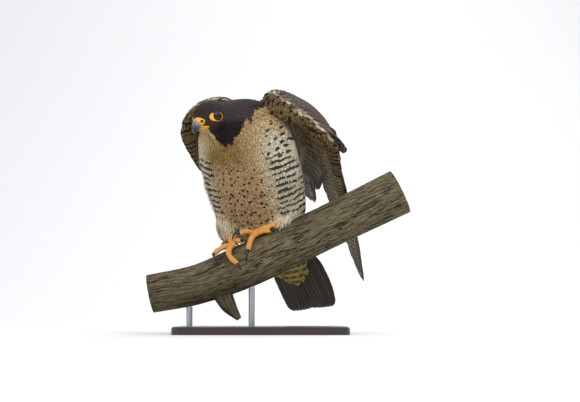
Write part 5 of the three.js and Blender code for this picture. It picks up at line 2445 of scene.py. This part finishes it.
        # The second colour is painted shade, for the grooves between the small scales and the eye rings'
        # creases.
        colors = (linear(238, 158, 12), linear(196, 110, 8), linear(246, 180, 36))
        skin = BareSkinFinish("facial_skin", *colors, 1500, 0.12).make()
        wet = EyeFinish().make()
        for eye in self.eyes:
            self.ball(eye, wet)
            self.ring(eye, skin)
        joined("cere_skin", self.cere_parts(), "low", (skin, "yellow_skin"), ("cere",), HEAD_FRAME)
        horn = HornFinish("bill_horn", linear(122, 128, 126), linear(28, 28, 32), 0.2, 0.72)
        dull = HornFinish(
            "lower_bill_horn", linear(120, 122, 112), linear(60, 62, 64), 0.7, 1.0, linear(196, 144, 34), 0.6,
        )
        for name, loft, tooth, finish in (("upper", self.upper, 0.9, horn), ("lower", self.lower, 0, dull)):
            parts = [self.bill_part(loft, tooth)]
            joined(f"{name}_bill", parts, "share", (finish.make(), "bill_horn"), (f"bill_{name}",), HEAD_FRAME)


@dataclass(frozen=True)
class Light:
    """A square lamp: its name, place, size, power and colour."""

    name: str
    place: tuple
    size: float
    power: float
    color: tuple


@dataclass(frozen=True)
class Studio:
    """Camera, floor, backdrop and light; the floor's sizes and the lamps' places are in metres."""

    look_at: tuple = (44.4, 0, 210)
    distance: float = 2000.0
    tilt: float = math.radians(5)
    lens_pixels: float = 1260.0
    image_width: int = 580
    sensor_width: float = 36
    floor_half_width: float = 5.0
    floor_front: float = -4.0
    floor_back: float = 1.6
    sweep_radius: float = 1.2
    sweep_steps: int = 12
    wall_height: float = 4.0
    paper: tuple = (0.86, 0.86, 0.86)
    surround: tuple = (0.93, 0.96, 1, 1)
    surround_strength: float = 0.75
    aim: tuple = (0, 0, 0.22)
    lamps: tuple = (
        Light("key", (0.9, -1.7, 2.3), 1.8, 38, (1, 0.985, 0.96)),
        Light("fill", (-1.9, -1.5, 1.0), 2.2, 10, (0.97, 0.985, 1)),
        Light("rim", (0.6, 1.9, 2.4), 2.0, 30, (1, 1, 1)),
    )

    def build(self) -> None:
        """Set up the studio."""
        self.camera()
        self.floor()
        for lamp in self.lamps:
            self.light(lamp)
        self.air()

    def camera(self) -> None:
        """A camera that looks up a little, as the photo does."""
        data = bpy.data.cameras.new("camera")
        data.sensor_width = self.sensor_width
        data.lens = self.lens_pixels * self.sensor_width / self.image_width
        made = linked("camera", data)
        x, y, z = self.look_at
        back, down = self.distance * math.cos(self.tilt), self.distance * math.sin(self.tilt)
        made.location = (x * MM, (y - back) * MM, (z - down) * MM)
        made.rotation_euler = (math.pi / 2 + self.tilt, 0, 0)
        bpy.context.scene.camera = made

    def floor(self) -> None:
        """A pale floor that sweeps up into the backdrop."""
        bend = self.sweep_radius
        line = [(self.floor_front, 0.0)]
        for i in range(self.sweep_steps + 1):
            a = i / self.sweep_steps * math.pi / 2
            line.append((self.floor_back + math.sin(a) * bend, bend - math.cos(a) * bend))
        line.append((self.floor_back + bend, self.wall_height))
        verts = [(side * self.floor_half_width / MM, y / MM, z / MM) for y, z in line for side in (-1, 1)]
        faces = [(2 * i, 2 * i + 1, 2 * i + 3, 2 * i + 2) for i in range(len(line) - 1)]
        made = mesh_object("studio_floor", np.array(verts), faces, np.eye(4))
        smooth(made)
        s = Shader("studio_paper")
        made.data.materials.append(s.dress(base_color=self.paper, roughness=0.95, specular_ior_level=0.0))
        made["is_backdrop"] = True

    def light(self, lamp: Light) -> None:
        """One lamp, turned to the bird.

        Args:
            lamp: Its sizes.
        """
        data = bpy.data.lights.new(lamp.name, "AREA")
        data.size, data.energy, data.color = lamp.size, lamp.power, lamp.color
        made = linked(lamp.name, data)
        made.location = lamp.place
        made.rotation_euler = (Vector(self.aim) - Vector(lamp.place)).to_track_quat("-Z", "Y").to_euler()

    def air(self) -> None:
        """A bright surround."""
        world = bpy.data.worlds.new("surround")
        world.use_nodes = True
        sockets = world.node_tree.nodes["Background"].inputs
        sockets[0].default_value = self.surround
        sockets[1].default_value = self.surround_strength
        bpy.context.scene.world = world
        bpy.context.scene.view_settings.view_transform = "Standard"


def dress_node(node: str, material: bpy.types.Material) -> None:
    """Give a solid its material.

    Args:
        node: The solid's name.
        material: The material.
    """
    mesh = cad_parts[node].data
    mesh.materials.clear()
    mesh.materials.append(material)


def main() -> None:
    """Build every sub-assembly in order."""
    logging.basicConfig(level=logging.INFO, format="%(name)s: %(message)s")
    Studio().build()
    Plumage().build()
    quill, lining = QuillFinish().make(), LiningFinish().make()
    inner = QuillFinish("inner_flight_feather", below=linear(106, 89, 71), bar=linear(172, 152, 118)).make()
    for plan in WINGS:
        Wing(plan).build(quill, inner, lining)
    tail = QuillFinish(
        "tail_feather", linear(70, 62, 54), linear(46, 36, 26), linear(100, 80, 50), linear(104, 88, 64),
        pale=0.5,
    )
    vent = LiningFinish("vent", linear(156, 136, 66), linear(178, 158, 92), linear(52, 40, 22), 12.5)
    Tail().build(tail.make(), vent.make())
    Perch().build(WoodFinish().make())
    Head().build()
    Feet().build()
    dress_node("stand_base", PlateFinish().make())
    rod = RodFinish().make()
    for node in ("stand_rod_low", "stand_rod_high"):
        dress_node(node, rod)
    sizes = [[list(corner) for corner in box] for box in (CAD_BOX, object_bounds())]


if __name__ == "__main__":
    main()
